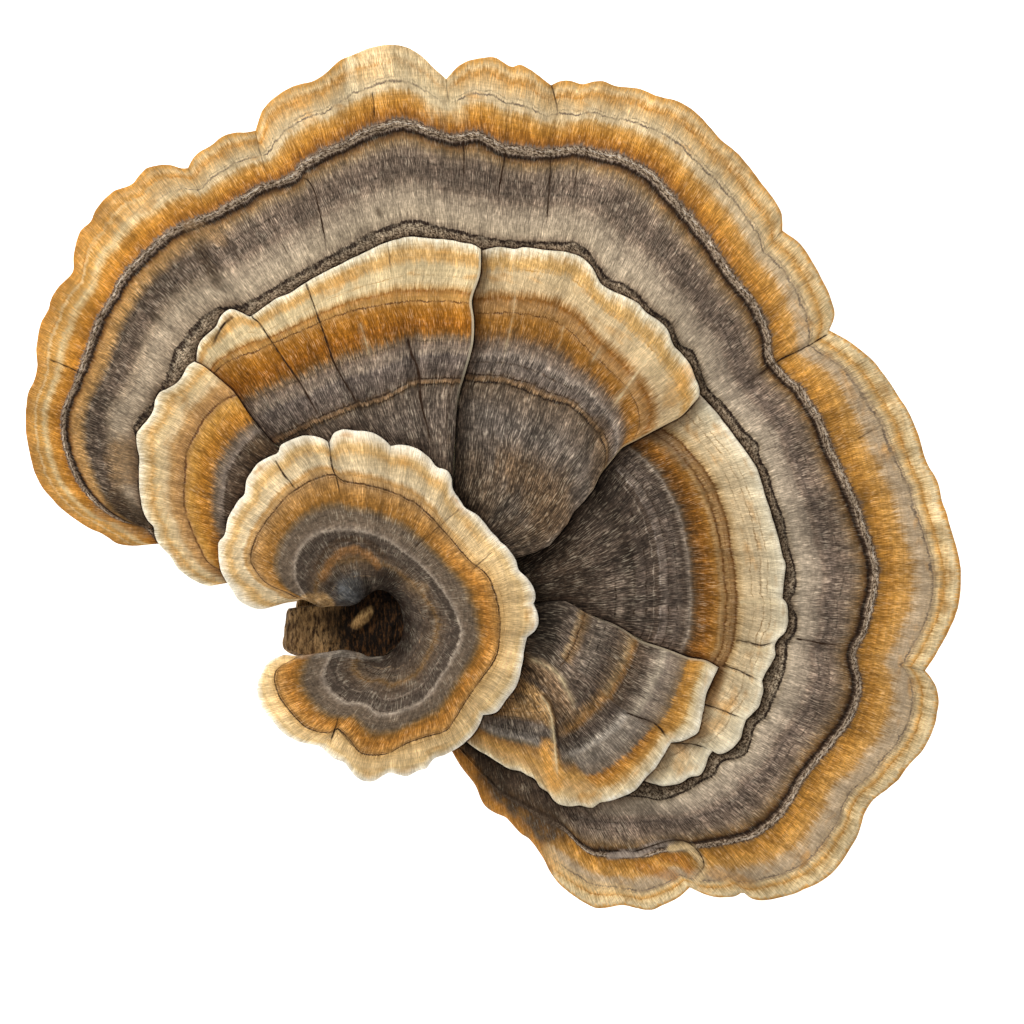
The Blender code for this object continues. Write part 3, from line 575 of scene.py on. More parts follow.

# Creases: plan points, strength of the painted shade (painted highlight where it is negative),
# half width and step in millimetres

LOWER_CREASES = [
    ([(48, 359), (66, 366), (89, 377)], 0.8, 0.13, 0.10),
    ([(150, 310), (168, 326), (185, 340)], 0.5, 0.12, 0.05),
    ([(187, 167), (193, 180), (200, 196), (204, 214)], 0.5, 0.12, 0.08),
    ([(255, 130), (258, 145), (262, 160), (268, 180)], 0.5, 0.12, 0.08),
    ([(301, 177), (312, 185), (322, 222), (328, 263)], 0.9, 0.14, 0.10),
    ([(578, 158), (576, 178), (572, 196)], 0.6, 0.12, 0.05),
    ([(372, 92), (374, 108), (374, 124)], 0.8, 0.13, 0.08),
    ([(222, 232), (234, 248), (246, 272)], 0.5, 0.14, 0.08),
    ([(266, 214), (280, 240), (296, 268)], 0.5, 0.14, 0.08),
    ([(446, 78), (447, 92), (450, 110)], 0.6, 0.12, 0.08),
    ([(463, 139), (464, 158), (463, 182)], 0.9, 0.15, 0.08),
    ([(506, 151), (502, 172), (497, 204)], 1.0, 0.17, 0.10),
    ([(551, 82), (556, 100), (558, 120)], 0.8, 0.13, 0.12),
    ([(551, 152), (549, 190), (546, 236)], 0.9, 0.14, 0.08),
    ([(783, 230), (774, 240), (762, 252)], 0.5, 0.12, 0.06),
    ([(830, 333), (806, 347), (780, 360), (760, 374), (740, 388)], 1.0, 0.15, 0.12),
    ([(855, 440), (868, 433), (880, 425)], 0.6, 0.12, 0.05),
    ([(761, 452), (771, 448), (782, 445)], 0.5, 0.10, 0.05),
    ([(795, 638), (808, 641), (820, 643), (835, 645), (848, 641)], 1.0, 0.16, -0.15),
    ([(926, 671), (912, 668), (898, 664)], 0.5, 0.14, 0.10),
    (
        [(632, 852), (640, 850), (655, 845), (670, 841), (685, 841), (695, 848), (702, 857),
         (704, 866), (698, 874), (694, 881), (690, 888)],
        0.9, 0.15, 0.35,
    ),
]
LEFT_CREASES = [
    ([(300, 470), (330, 500), (352, 530)], 0.4, 0.14, 0.05),
]
MIDDLE_CREASES = [
    ([(234, 316), (225, 324), (217, 336), (212, 350)], 0.8, 0.26, 0.14),
    ([(250, 312), (253, 318), (260, 324), (278, 351), (301, 384), (317, 412), (330, 438)],
     1.0, 0.17, 0.14),
    ([(305, 280), (312, 300), (324, 333), (336, 366), (354, 397), (377, 434)], 1.0, 0.17, 0.14),
    ([(387, 240), (390, 262), (392, 284)], 0.6, 0.12, 0.06),
    ([(408, 335), (411, 352), (419, 372), (421, 400), (428, 430), (436, 455)], 1.0, 0.24, 0.14),
    ([(456, 372), (449, 400), (447, 425), (443, 450)], 0.5, 0.30, 0.08),
    ([(360, 322), (366, 342), (372, 364)], -0.5, 0.14, 0.10),
]
INNER_RIGHT_CREASES = [
    ([(512, 250), (514, 275), (515, 300), (511, 325), (505, 352), (500, 378)], -0.5, 0.12, 0.12),
    ([(564, 324), (560, 342), (553, 358)], -0.4, 0.12, 0.08),
    ([(602, 345), (594, 358), (588, 368)], -0.4, 0.22, 0.05),
    ([(648, 358), (634, 377), (620, 397), (608, 415)], -0.6, 0.22, 0.12),
    ([(560, 520), (545, 535), (528, 551)], 0.5, 0.14, 0.10),
    ([(497, 420), (490, 450), (483, 485)], 0.3, 0.30, 0.10),
]
RIGHT_CREASES = [
    ([(735, 640), (748, 642), (762, 645), (779, 640)], 0.8, 0.13, 0.18),
    ([(722, 665), (736, 669), (750, 676), (763, 683)], 0.8, 0.13, 0.18),
    ([(700, 702), (716, 708), (732, 714), (748, 721)], 0.8, 0.13, 0.18),
    ([(668, 742), (680, 743), (698, 745), (714, 752)], 0.8, 0.13, 0.18),
    ([(735, 645), (748, 647), (762, 650), (779, 645)], -0.7, 0.20, 0.0),
    ([(722, 670), (736, 674), (750, 681), (762, 688)], -0.7, 0.20, 0.0),
    ([(700, 707), (716, 713), (732, 719), (747, 726)], -0.7, 0.20, 0.0),
    ([(738, 602), (756, 602), (770, 603), (784, 606)], -0.7, 0.20, 0.10),
]
FRONT_CREASES = [
    ([(624, 711), (636, 716), (650, 721), (661, 729), (669, 741)], 1.0, 0.18, 0.20),
    ([(526, 657), (545, 665), (558, 674), (566, 688), (572, 701), (578, 713)], -0.8, 0.16, 0.25),
    ([(540, 694), (547, 704), (551, 716), (553, 728), (555, 751), (557, 768), (558, 785)],
     -0.9, 0.16, 0.30),
    ([(543, 693), (551, 703), (555, 716), (557, 730), (559, 751), (561, 770)], 0.7, 0.20, 0.10),
]
CROWN_CREASES = [
    ([(329, 436), (331, 452), (333, 466), (338, 480), (343, 502)], 0.9, 0.15, 0.12),
    ([(276, 460), (284, 473), (292, 483), (301, 495)], 0.8, 0.15, 0.10),
    ([(461, 508), (448, 519), (433, 532), (418, 545), (400, 566)], 0.6, 0.13, 0.08),
    ([(386, 498), (381, 513), (377, 532)], 0.5, 0.12, 0.05),
    ([(493, 551), (480, 563), (467, 575)], 0.6, 0.12, 0.06),
    ([(339, 716), (336, 728), (330, 744)], 0.9, 0.16, 0.12),
    ([(338, 726), (348, 738), (361, 752)], 0.7, 0.14, 0.10),
    ([(391, 444), (390, 456), (388, 468)], 0.4, 0.12, 0.06),
]

# Zones of colour from root to rim: share of growth, colour, strength of the streaks

# In all three lower cap zone sets the near-black stop at 0.747 is painted shadow of the step just
# inside the rope
LOWER_ZONES = [
    (0.38, "#4A392B", 0.8), (0.415, "#6B5643", 0.6), (0.424, "#A8937A", 0.6),
    (0.455, "#BDA98D", 0.6), (0.50, "#B9A58B", 0.6), (0.545, "#A5917A", 0.8),
    (0.562, "#897562", 1.0), (0.60, "#756455", 1.0), (0.64, "#746253", 1.0),
    (0.67, "#7E6B5A", 1.0), (0.692, "#8A7560", 0.9), (0.712, "#957B5B", 0.9),
    (0.728, "#8E6B42", 0.9), (0.738, "#64462A", 0.8), (0.747, "#382616", 0.5),
    (0.755, "#49382C", 0.4), (0.760, "#776558", 0.4), (0.770, "#8F7F74", 0.4),
    (0.780, "#88735F", 0.4), (0.787, "#8C5B29", 0.7), (0.81, "#B4762B", 0.8),
    (0.83, "#C68937", 0.8), (0.85, "#CB9348", 0.7), (0.864, "#CFA466", 0.6),
    (0.874, "#DFC396", 0.5), (0.902, "#DEC498", 0.5), (0.93, "#D8B37C", 0.6),
    (0.957, "#CF9850", 0.7), (0.975, "#E3C18B", 0.6), (0.99, "#D39F56", 0.6),
    (1.0, "#C08840", 0.5),
]
LOWER_LEFT_ZONES = [
    (0.38, "#4A392B", 0.8), (0.415, "#6B5643", 0.6), (0.424, "#A8937A", 0.6),
    (0.50, "#B5A187", 0.6), (0.545, "#A08B72", 0.8), (0.562, "#756351", 1.0),
    (0.60, "#605043", 1.0), (0.66, "#655546", 1.0), (0.682, "#8A6D4A", 0.8),
    (0.700, "#B88C54", 0.7), (0.728, "#B98A50", 0.7), (0.738, "#7A5128", 0.7),
    (0.747, "#382616", 0.5), (0.755, "#5A483A", 0.4), (0.762, "#8A776A", 0.4),
    (0.780, "#8D7A6A", 0.4), (0.787, "#A86F2B", 0.7), (0.82, "#C4832F", 0.7),
    (0.853, "#CB8E3E", 0.7), (0.868, "#DDB476", 0.6), (0.885, "#E4C690", 0.5),
    (0.902, "#D5A35C", 0.6), (0.925, "#CE9648", 0.6), (0.938, "#DDB982", 0.5),
    (0.95, "#CF9A50", 0.6), (0.975, "#C98F45", 0.6), (1.0, "#BA8036", 0.5),
]
LOWER_RIGHT_ZONES = [
    (0.38, "#4A392B", 0.8), (0.415, "#5F4C3B", 0.6), (0.424, "#AE9A7F", 0.6),
    (0.455, "#BFAC93", 0.6), (0.50, "#B3A089", 0.6), (0.54, "#9F8D79", 0.8),
    (0.562, "#8B7765", 1.0), (0.60, "#736255", 1.0), (0.64, "#756354", 1.0),
    (0.67, "#7E6A59", 1.0), (0.692, "#7F6B58", 0.9), (0.712, "#826A50", 0.9),
    (0.730, "#7A5C38", 0.9), (0.739, "#563A20", 0.8), (0.747, "#382616", 0.5),
    (0.755, "#463528", 0.4), (0.760, "#6A5748", 0.4), (0.770, "#82705F", 0.4),
    (0.780, "#826548", 0.4), (0.787, "#A0702F", 0.7), (0.81, "#BE8438", 0.8),
    (0.83, "#CF9648", 0.8), (0.852, "#CE9A55", 0.7), (0.865, "#C8A981", 0.6),
    (0.878, "#C2A989", 0.5), (0.900, "#B89C76", 0.5), (0.915, "#DEC08E", 0.5),
    (0.943, "#D39F55", 0.7), (0.962, "#E4C38C", 0.6), (0.985, "#ECD3A4", 0.5),
    (0.994, "#D9A862", 0.5), (1.0, "#BD8640", 0.5),
]
LEFT_ZONES = [
    (0.0, "#4A3A2D", 0.9), (0.45, "#513F2F", 0.9), (0.55, "#5A4736", 0.9),
    (0.585, "#5C4B3C", 0.9), (0.605, "#88786A", 0.8), (0.635, "#7A6650", 0.8),
    (0.665, "#A56F2C", 0.8), (0.70, "#BC7D2A", 0.7), (0.755, "#CB9444", 0.7),
    (0.776, "#BE8E50", 0.5), (0.79, "#A87C4A", 0.5), (0.82, "#BE8E56", 0.6),
    (0.845, "#C89A60", 0.6), (0.875, "#DFC192", 0.5), (0.915, "#E2C490", 0.5),
    (0.94, "#D6A764", 0.6), (0.97, "#E8CB99", 0.5), (1.0, "#F8ECD0", 0.3),
]
MIDDLE_ZONES = [
    (0.0, "#4E4134", 1.0), (0.2, "#5C4E42", 1.0), (0.35, "#6A5C50", 1.0),
    (0.45, "#67584A", 1.0), (0.462, "#57452F", 0.9), (0.471, "#88694A", 0.9),
    (0.482, "#5F4B38", 0.9), (0.495, "#5C4E43", 1.0), (0.57, "#665950", 1.0),
    (0.592, "#8B7967", 0.9), (0.615, "#7B6858", 0.9), (0.64, "#7D6449", 0.9),
    (0.66, "#865720", 0.8), (0.69, "#965B16", 0.8), (0.735, "#A96C1E", 0.7),
    (0.76, "#B2772D", 0.7), (0.775, "#BC8849", 0.6), (0.79, "#C2914F", 0.6),
    (0.805, "#B98545", 0.6), (0.818, "#AD793A", 0.6), (0.83, "#D3AB72", 0.5),
    (0.85, "#E4CA9A", 0.5), (0.905, "#E3C998", 0.5), (0.93, "#D6A867", 0.6),
    (0.955, "#D8AB69", 0.6), (0.98, "#EED7AC", 0.5), (1.0, "#FAEFD4", 0.3),
]
INNER_RIGHT_ZONES = [
    (0.0, "#4E4134", 1.0), (0.25, "#63564A", 1.0), (0.4, "#6E6155", 1.0),
    (0.488, "#6B5947", 1.0), (0.50, "#57442F", 0.9), (0.512, "#866849", 0.9),
    (0.524, "#624F3D", 0.9), (0.54, "#6A5C51", 1.0), (0.59, "#716459", 1.0),
    (0.605, "#9E8D7D", 0.9), (0.62, "#877565", 0.9), (0.655, "#7E6650", 0.9),
    (0.68, "#8A6236", 0.8), (0.71, "#9B6726", 0.8), (0.745, "#A77230", 0.7),
    (0.762, "#A5753C", 0.6), (0.78, "#B1844E", 0.6), (0.805, "#AC7F4B", 0.6),
    (0.822, "#9A682F", 0.6), (0.838, "#B98D57", 0.6), (0.858, "#D6B88A", 0.5),
    (0.915, "#DFC293", 0.5), (0.938, "#D4A662", 0.6), (0.96, "#DEB372", 0.6),
    (0.983, "#F0DBB3", 0.5), (1.0, "#FAEFD4", 0.3),
]
RIGHT_ZONES = [
    (0.0, "#3A2C20", 1.0), (0.28, "#4A3C30", 1.0), (0.38, "#5C4D41", 1.0),
    (0.42, "#6A5B4E", 1.0), (0.45, "#463A30", 1.0), (0.50, "#5F5146", 1.0),
    (0.53, "#4F4238", 1.0), (0.56, "#57483C", 1.0),
    (0.585, "#75665A", 1.0), (0.605, "#5A4B40", 1.0), (0.63, "#6B5C50", 1.0),
    (0.655, "#55463A", 1.0), (0.672, "#8C7B6A", 0.8),
    (0.683, "#614A32", 0.8), (0.70, "#734B1F", 0.9), (0.735, "#945F20", 0.9),
    (0.762, "#A87432", 0.8), (0.775, "#B48D5A", 0.6), (0.79, "#8A6234", 0.6),
    (0.802, "#AD8655", 0.6), (0.815, "#9E774A", 0.6), (0.825, "#80582B", 0.6),
    (0.836, "#C4A06C", 0.6), (0.865, "#DABF93", 0.5), (0.905, "#DCC298", 0.5),
    (0.93, "#E2CAA1", 0.5), (0.965, "#EDDAB4", 0.4), (0.985, "#F4E5C4", 0.3),
    (1.0, "#FAEED3", 0.2),
]
FRONT_ZONES = [
    (0.0, "#3C3026", 1.0), (0.25, "#4E4237", 1.0), (0.33, "#716153", 1.0),
    (0.352, "#A08562", 0.9), (0.372, "#765634", 0.8), (0.386, "#8A6E4E", 0.9),
    (0.42, "#6C5C4E", 1.0), (0.47, "#786A5C", 1.0), (0.53, "#5B4C40", 1.0),
    (0.575, "#6E5A45", 1.0), (0.60, "#9A7D57", 0.9), (0.618, "#8A6438", 0.9),
    (0.64, "#5E4B3A", 1.0), (0.69, "#5C4D40", 1.0), (0.72, "#7D6D5D", 0.9),
    (0.75, "#B0A08A", 0.8), (0.775, "#877768", 0.9), (0.82, "#8A7763", 0.8),
    (0.852, "#8E7250", 0.7), (0.864, "#B5803A", 0.7), (0.90, "#C68C3D", 0.7),
    (0.925, "#D2A058", 0.6), (0.942, "#E4C895", 0.4), (0.97, "#F0DDB8", 0.3),
    (1.0, "#FAF0D8", 0.2),
]
FRONT_LOBE_ZONES = [
    (0.0, "#3C3026", 1.0), (0.33, "#5A4C3F", 1.0), (0.42, "#6C5C4E", 1.0),
    (0.55, "#5B4C40", 1.0), (0.585, "#7C5E3C", 1.0), (0.61, "#8A6438", 0.9),
    (0.635, "#5E4E40", 1.0), (0.67, "#56493F", 1.0), (0.70, "#6C6054", 1.0),
    (0.728, "#AFA292", 0.8), (0.75, "#857869", 0.9), (0.80, "#7F7264", 0.9),
    (0.85, "#776552", 0.9), (0.868, "#A26C2A", 0.8), (0.90, "#BF8336", 0.7),
    (0.928, "#CA9852", 0.6), (0.946, "#DFBF8D", 0.5), (0.975, "#ECD6AC", 0.4),
    (1.0, "#FBF2DC", 0.2),
]
FRONT_LEFT_ZONES = [
    (0.0, "#4A3A2A", 1.0), (0.30, "#5F4E3C", 1.0), (0.40, "#8A6B45", 0.9),
    (0.46, "#AA8353", 0.8), (0.52, "#8C6D49", 0.9), (0.56, "#6A5C50", 1.0),
    (0.64, "#5C5249", 1.0), (0.72, "#8A7F73", 0.9), (0.76, "#75654F", 0.9),
    (0.80, "#A0743F", 0.8), (0.86, "#C3934F", 0.6), (0.92, "#D0A56B", 0.6),
    (0.96, "#DFBE88", 0.5), (1.0, "#F5E6C5", 0.3),
]
CROWN_ZONES = [
    (0.0, "#2E1F14", 0.8), (0.06, "#45352A", 1.0), (0.12, "#54473C", 1.0),
    (0.18, "#5A4A3C", 1.0), (0.235, "#65523F", 1.0), (0.26, "#80623E", 0.9),
    (0.285, "#6A5643", 0.9), (0.34, "#5A4C40", 1.0), (0.395, "#55483D", 1.0),
    (0.415, "#A3917E", 0.8), (0.428, "#8D7B69", 0.9), (0.45, "#766452", 1.0),
    (0.53, "#6E5D4B", 1.0), (0.565, "#7F6340", 0.9), (0.595, "#9A6A2E", 0.8),
    (0.65, "#B07D3E", 0.8), (0.70, "#B4864E", 0.7), (0.73, "#A27C4E", 0.6),
    (0.75, "#B38A58", 0.5), (0.765, "#C39A63", 0.5), (0.785, "#BF9257", 0.5),
    (0.81, "#DCC49B", 0.6), (0.87, "#D6BA8C", 0.6), (0.90, "#CFA568", 0.6),
    (0.93, "#D9B47A", 0.5), (0.955, "#EDD5AD", 0.4), (0.975, "#F4E4C6", 0.3),
    (1.0, "#FBF1DB", 0.2),
]
# The crown's right and lower side: its own wider cream margin, brightened further as painted light
# where that side faces away from the lamp
CROWN_RIGHT_ZONES = [stop for stop in CROWN_ZONES if stop[0] < 0.64] + [
    (0.65, "#BE7F35", 0.8), (0.70, "#C98F48", 0.8), (0.73, "#B28349", 0.6),
    (0.75, "#DBAE6E", 0.5), (0.80, "#EBC386", 0.5), (0.86, "#F1CC92", 0.5),
    (0.92, "#F2CD90", 0.5), (0.96, "#FBE6BE", 0.4), (0.985, "#FEF1D8", 0.3),
    (1.0, "#FFF6E4", 0.2),
]

# Thin lines along the zones: share, half width, colour, strength, and the share of the rim
# that one starts from

LOWER_LINES = [
    (0.418, 0.0050, "#2E2119", 0.95),
    # The near-black line at 0.7475 is painted shadow of the step just inside the rope
    (0.7475, 0.005, "#26190F", 0.95), (0.764, 0.0016, "#2E2118", 0.6),
    (0.773, 0.0014, "#E0D2C0", 0.4), (0.7815, 0.0020, "#4A3222", 0.5),
    (0.893, 0.0036, "#7C6A56", 0.75, 0.2), (0.905, 0.0025, "#8F7A5C", 0.35, 0.2),
    (0.60, 0.006, "#4A3E34", 0.3), (0.655, 0.005, "#3E342B", 0.3),
    (0.52, 0.004, "#8C7A66", 0.3), (0.948, 0.005, "#B87E36", 0.4),
]
LEFT_LINES = [(0.784, 0.006, "#6A4424", 0.85), (0.59, 0.006, "#3F3024", 0.5)]
MIDDLE_LINES = [
    (0.483, 0.004, "#2E2016", 0.85), (0.461, 0.0035, "#33241A", 0.7),
    (0.779, 0.0035, "#6A4520", 0.85), (0.818, 0.005, "#96622A", 0.5),
    (0.872, 0.002, "#B48A52", 0.4), (0.63, 0.003, "#54432F", 0.4),
]
INNER_RIGHT_LINES = [
    (0.498, 0.004, "#2E2016", 0.85), (0.526, 0.0035, "#33241A", 0.7),
    (0.766, 0.003, "#6A4520", 0.8), (0.822, 0.006, "#8E5B22", 0.6),
    (0.925, 0.003, "#B98A48", 0.4), (0.575, 0.004, "#4A3A2D", 0.4),
]
RIGHT_LINES = [
    (0.40, 0.004, "#2E2218", 0.5), (0.47, 0.005, "#2E2218", 0.5),
    (0.515, 0.004, "#2E2218", 0.5), (0.545, 0.003, "#8A7B6B", 0.5),
    (0.60, 0.003, "#33261B", 0.5), (0.63, 0.0025, "#2E2218", 0.5),
    (0.672, 0.003, "#9A8A78", 0.5), (0.79, 0.004, "#6A431C", 0.8),
    (0.808, 0.002, "#85592A", 0.5), (0.825, 0.004, "#6A431C", 0.8),
    (0.885, 0.002, "#A5845A", 0.5), (0.919, 0.003, "#A08057", 0.6),
    (0.943, 0.003, "#A98B62", 0.5), (0.57, 0.004, "#94867A", 0.3),
]
FRONT_LINES = [
    (0.53, 0.004, "#3E3228", 0.5), (0.64, 0.004, "#3A2C20", 0.4),
    (0.445, 0.004, "#A08E78", 0.3),
    (0.48, 0.003, "#2E2218", 0.5), (0.372, 0.004, "#3E2A18", 0.6),
]
CROWN_LINES = [
    (0.739, 0.0065, "#4A2F18", 0.95), (0.26, 0.004, "#54371B", 0.5),
    (0.415, 0.003, "#BBAA96", 0.4), (0.40, 0.003, "#382A1E", 0.5),
    (0.30, 0.003, "#33261B", 0.4), (0.475, 0.002, "#4A3A2D", 0.4),
    (0.775, 0.0025, "#A5763E", 0.5), (0.20, 0.003, "#2E2218", 0.5),
    (0.13, 0.004, "#33271D", 0.5), (0.165, 0.004, "#A08465", 0.35),
    (0.345, 0.004, "#8C7A68", 0.4), (0.36, 0.003, "#2E2218", 0.4),
    (0.722, 0.004, "#7A5126", 0.5), (0.51, 0.003, "#4A3A2C", 0.3),
]

# Flecked strips: from and to which share, how much darker outward, dark and pale flecks

LOWER_STRIPS = [
    (0.25, 0.421, 0.0, "#544331", "#C4B094"),
    (0.758, 0.780, 0.2, "#46321F", "#B8A187"),
]

# Patches of another colour, some of them painted shade: plan points, reach, colour, strength

LOWER_PATCHES = [
    ([(188, 226), (205, 231), (222, 240)], 6, "#B08A5E", 0.45),
    ([(198, 246), (206, 262), (218, 284)], 6, "#4E3B29", 0.6),
    ([(122, 452), (124, 472)], 15, "#8F6D45", 0.75),
    ([(112, 498), (126, 510), (140, 520)], 11, "#43311F", 0.8),
    ([(96, 512), (118, 526), (144, 534)], 5, "#97734A", 0.5),
    ([(379, 212)], 4, "#4E3D2C", 0.8),
    ([(372, 54), (405, 60), (430, 78), (440, 98)], 17, "#EDD6A8", 0.55),
    ([(448, 90), (455, 104), (459, 116)], 8, "#E8CD9C", 0.35),
    ([(536, 92), (552, 104), (560, 120)], 8, "#DDBB86", 0.4),
    ([(350, 62), (352, 90)], 6, "#EED9AE", 0.6),
    ([(462, 752), (484, 772), (512, 797), (545, 825)], 24, "#4A3A2C", 0.9),
    ([(452, 757), (470, 784), (482, 803), (505, 822), (522, 840), (545, 864)], 11, "#C08030", 0.9),
    ([(548, 852), (560, 868), (578, 880), (602, 888), (628, 892)], 6, "#EBC386", 0.5),
    ([(640, 866), (656, 871), (674, 876)], 6, "#9C6425", 0.6),
    ([(610, 856), (640, 852), (655, 845), (672, 843)], 4, "#9A8A7C", 0.9),
    ([(672, 848), (684, 846), (694, 852), (701, 862), (702, 874), (694, 886)], 4.5,
     "#DDBE8C", 0.85),
    ([(664, 858), (680, 860), (690, 870)], 5, "#A96B24", 0.7),
    ([(712, 872), (730, 878), (750, 884)], 6, "#C08A45", 0.5),
]
MIDDLE_PATCHES = [
    ([(430, 442), (450, 442)], 3, "#8F6C42", 0.7),
    ([(470, 440), (462, 480)], 14, "#3A2B1D", 0.5),
    ([(340, 470), (400, 490)], 14, "#463524", 0.5),
]
INNER_RIGHT_PATCHES = [
    ([(520, 465), (545, 490), (550, 515)], 22, "#6E5234", 0.6),
    ([(470, 470), (480, 500)], 18, "#5E4A35", 0.5),
    ([(600, 425), (604, 455), (596, 480)], 9, "#80603C", 0.28),
    ([(490, 420), (520, 440), (545, 450)], 12, "#7D736A", 0.3),
    ([(505, 530), (530, 545)], 10, "#4A3826", 0.5),
    ([(670, 400), (680, 385), (690, 372)], 9, "#D79C4C", 0.5),
]
LEFT_PATCHES = [([(262, 450), (300, 520), (330, 560)], 16, "#45341F", 0.5)]
RIGHT_PATCHES = [
    # Painted shadow: the first under the inner right cap's edge, the second beside the crown's rim
    ([(600, 470), (612, 510), (620, 545)], 20, "#2E231A", 0.55),
    ([(540, 540), (530, 580), (525, 600)], 16, "#2E231A", 0.6),
    ([(718, 672), (712, 700)], 7, "#9A7040", 0.7),
    ([(660, 770), (680, 765)], 10, "#D9BC8C", 0.4),
    ([(690, 735), (720, 722), (724, 706)], 6, "#D9A866", 0.5),
    ([(644, 430), (664, 442), (684, 462)], 7, "#7A624A", 0.5),
]
FRONT_PATCHES = [
    ([(530, 612), (548, 632), (545, 650)], 14, "#3E352C", 0.6),
    ([(522, 664), (540, 672), (556, 690), (566, 712)], 10, "#7E6245", 0.7),
    ([(508, 684), (528, 688), (544, 702), (550, 720)], 6, "#B88D57", 0.7),
    ([(548, 745), (552, 765), (555, 782)], 8, "#C98F40", 0.8),
    ([(559, 725), (562, 745), (566, 765)], 5, "#5E4C3C", 0.5),
]
CROWN_PATCHES = [
    ([(350, 590)], 16, "#4A4846", 0.95),
    ([(344, 590), (354, 597)], 5, "#6A6C6E", 0.5),
    ([(324, 577), (334, 558), (350, 550), (366, 553), (378, 565)], 4, "#97693A", 0.8),
    ([(318, 566), (332, 545), (352, 539), (372, 544), (386, 558)], 3, "#4A3624", 0.7),
    ([(331, 602), (330, 588), (338, 574)], 2.5, "#33271C", 0.8),
    ([(366, 600), (369, 590), (366, 578)], 3, "#241A12", 0.85),
    ([(309, 600), (320, 598), (329, 604)], 6, "#B08A59", 0.9),
    # Painted shade where the crown's root goes down into the hollow
    ([(386, 580), (392, 600), (402, 625), (400, 645)], 12, "#241810", 0.9),
    ([(412, 586), (424, 588)], 6, "#8E7252", 0.6),
    ([(370, 658), (390, 660)], 7, "#33241A", 0.7),
    ([(300, 655), (340, 653), (380, 657)], 3.5, "#8F8375", 0.6),
]

# Where the zones of the lower cap lie, at stations along its rim

LOWER_FIXED = [0, 0.385, 0.42, 0.56, 0.69, 0.745, 0.757, 0.785, 0.86, 0.893, 0.95, 1]
LOWER_STATIONS = [
    (0.00, [0, 0.385, 0.42, 0.57, 0.68, 0.745, 0.760, 0.790, 0.86, 0.895, 0.95, 1]),
    (0.15, [0, 0.380, 0.42, 0.57, 0.68, 0.745, 0.758, 0.788, 0.86, 0.895, 0.95, 1]),
    (0.42, [0, 0.395, 0.42, 0.56, 0.68, 0.738, 0.749, 0.783, 0.86, 0.890, 0.95, 1]),
    (0.70, [0, 0.402, 0.42, 0.545, 0.66, 0.741, 0.755, 0.777, 0.87, 0.930, 0.955, 1]),
    (1.00, [0, 0.402, 0.42, 0.545, 0.66, 0.741, 0.755, 0.778, 0.86, 0.910, 0.95, 1]),
]

# The base's rings in millimetres, and its nub and hollow in steps

BASE_SIDES = 300
BASE_SPACING = 0.28
POLE = 0.02
HOLLOW_FLOOR = 12.15
HOLLOW = (388, 626)
HOLLOW_REACH = 60
NUB = (363, 618)
NUB_LENGTH = 15
NUB_WIDTH = 7
NUB_HEIGHT = 1.5

# Edges of the caps that lie over each cap, for the painted shade beside them

LOWER_COVER = [LEFT_RIM, MIDDLE_RIM, INNER_RIGHT_RIM, RIGHT_RIM, FRONT_RIM, CROWN_RIM]
LEFT_COVER = [CROWN_RIM]
MIDDLE_COVER = [LEFT_START, CROWN_RIM]
INNER_RIGHT_COVER = [MIDDLE_END, CROWN_RIM]
RIGHT_COVER = [INNER_RIGHT_END, FRONT_START, FRONT_RIM, CROWN_RIM]
FRONT_COVER = [CROWN_RIM]
CROWN_COVER = []

# What each cap adds to its outline: fine is the step between its columns, marks is how many
# rows follow each share of growth, zones start at a share of the rim with a soft join, edges
# are pale sides, relief is share, half width and height in millimetres, fray and ruffle are how
# uneven zones and rim are, and calm is the share where the hairs show in full

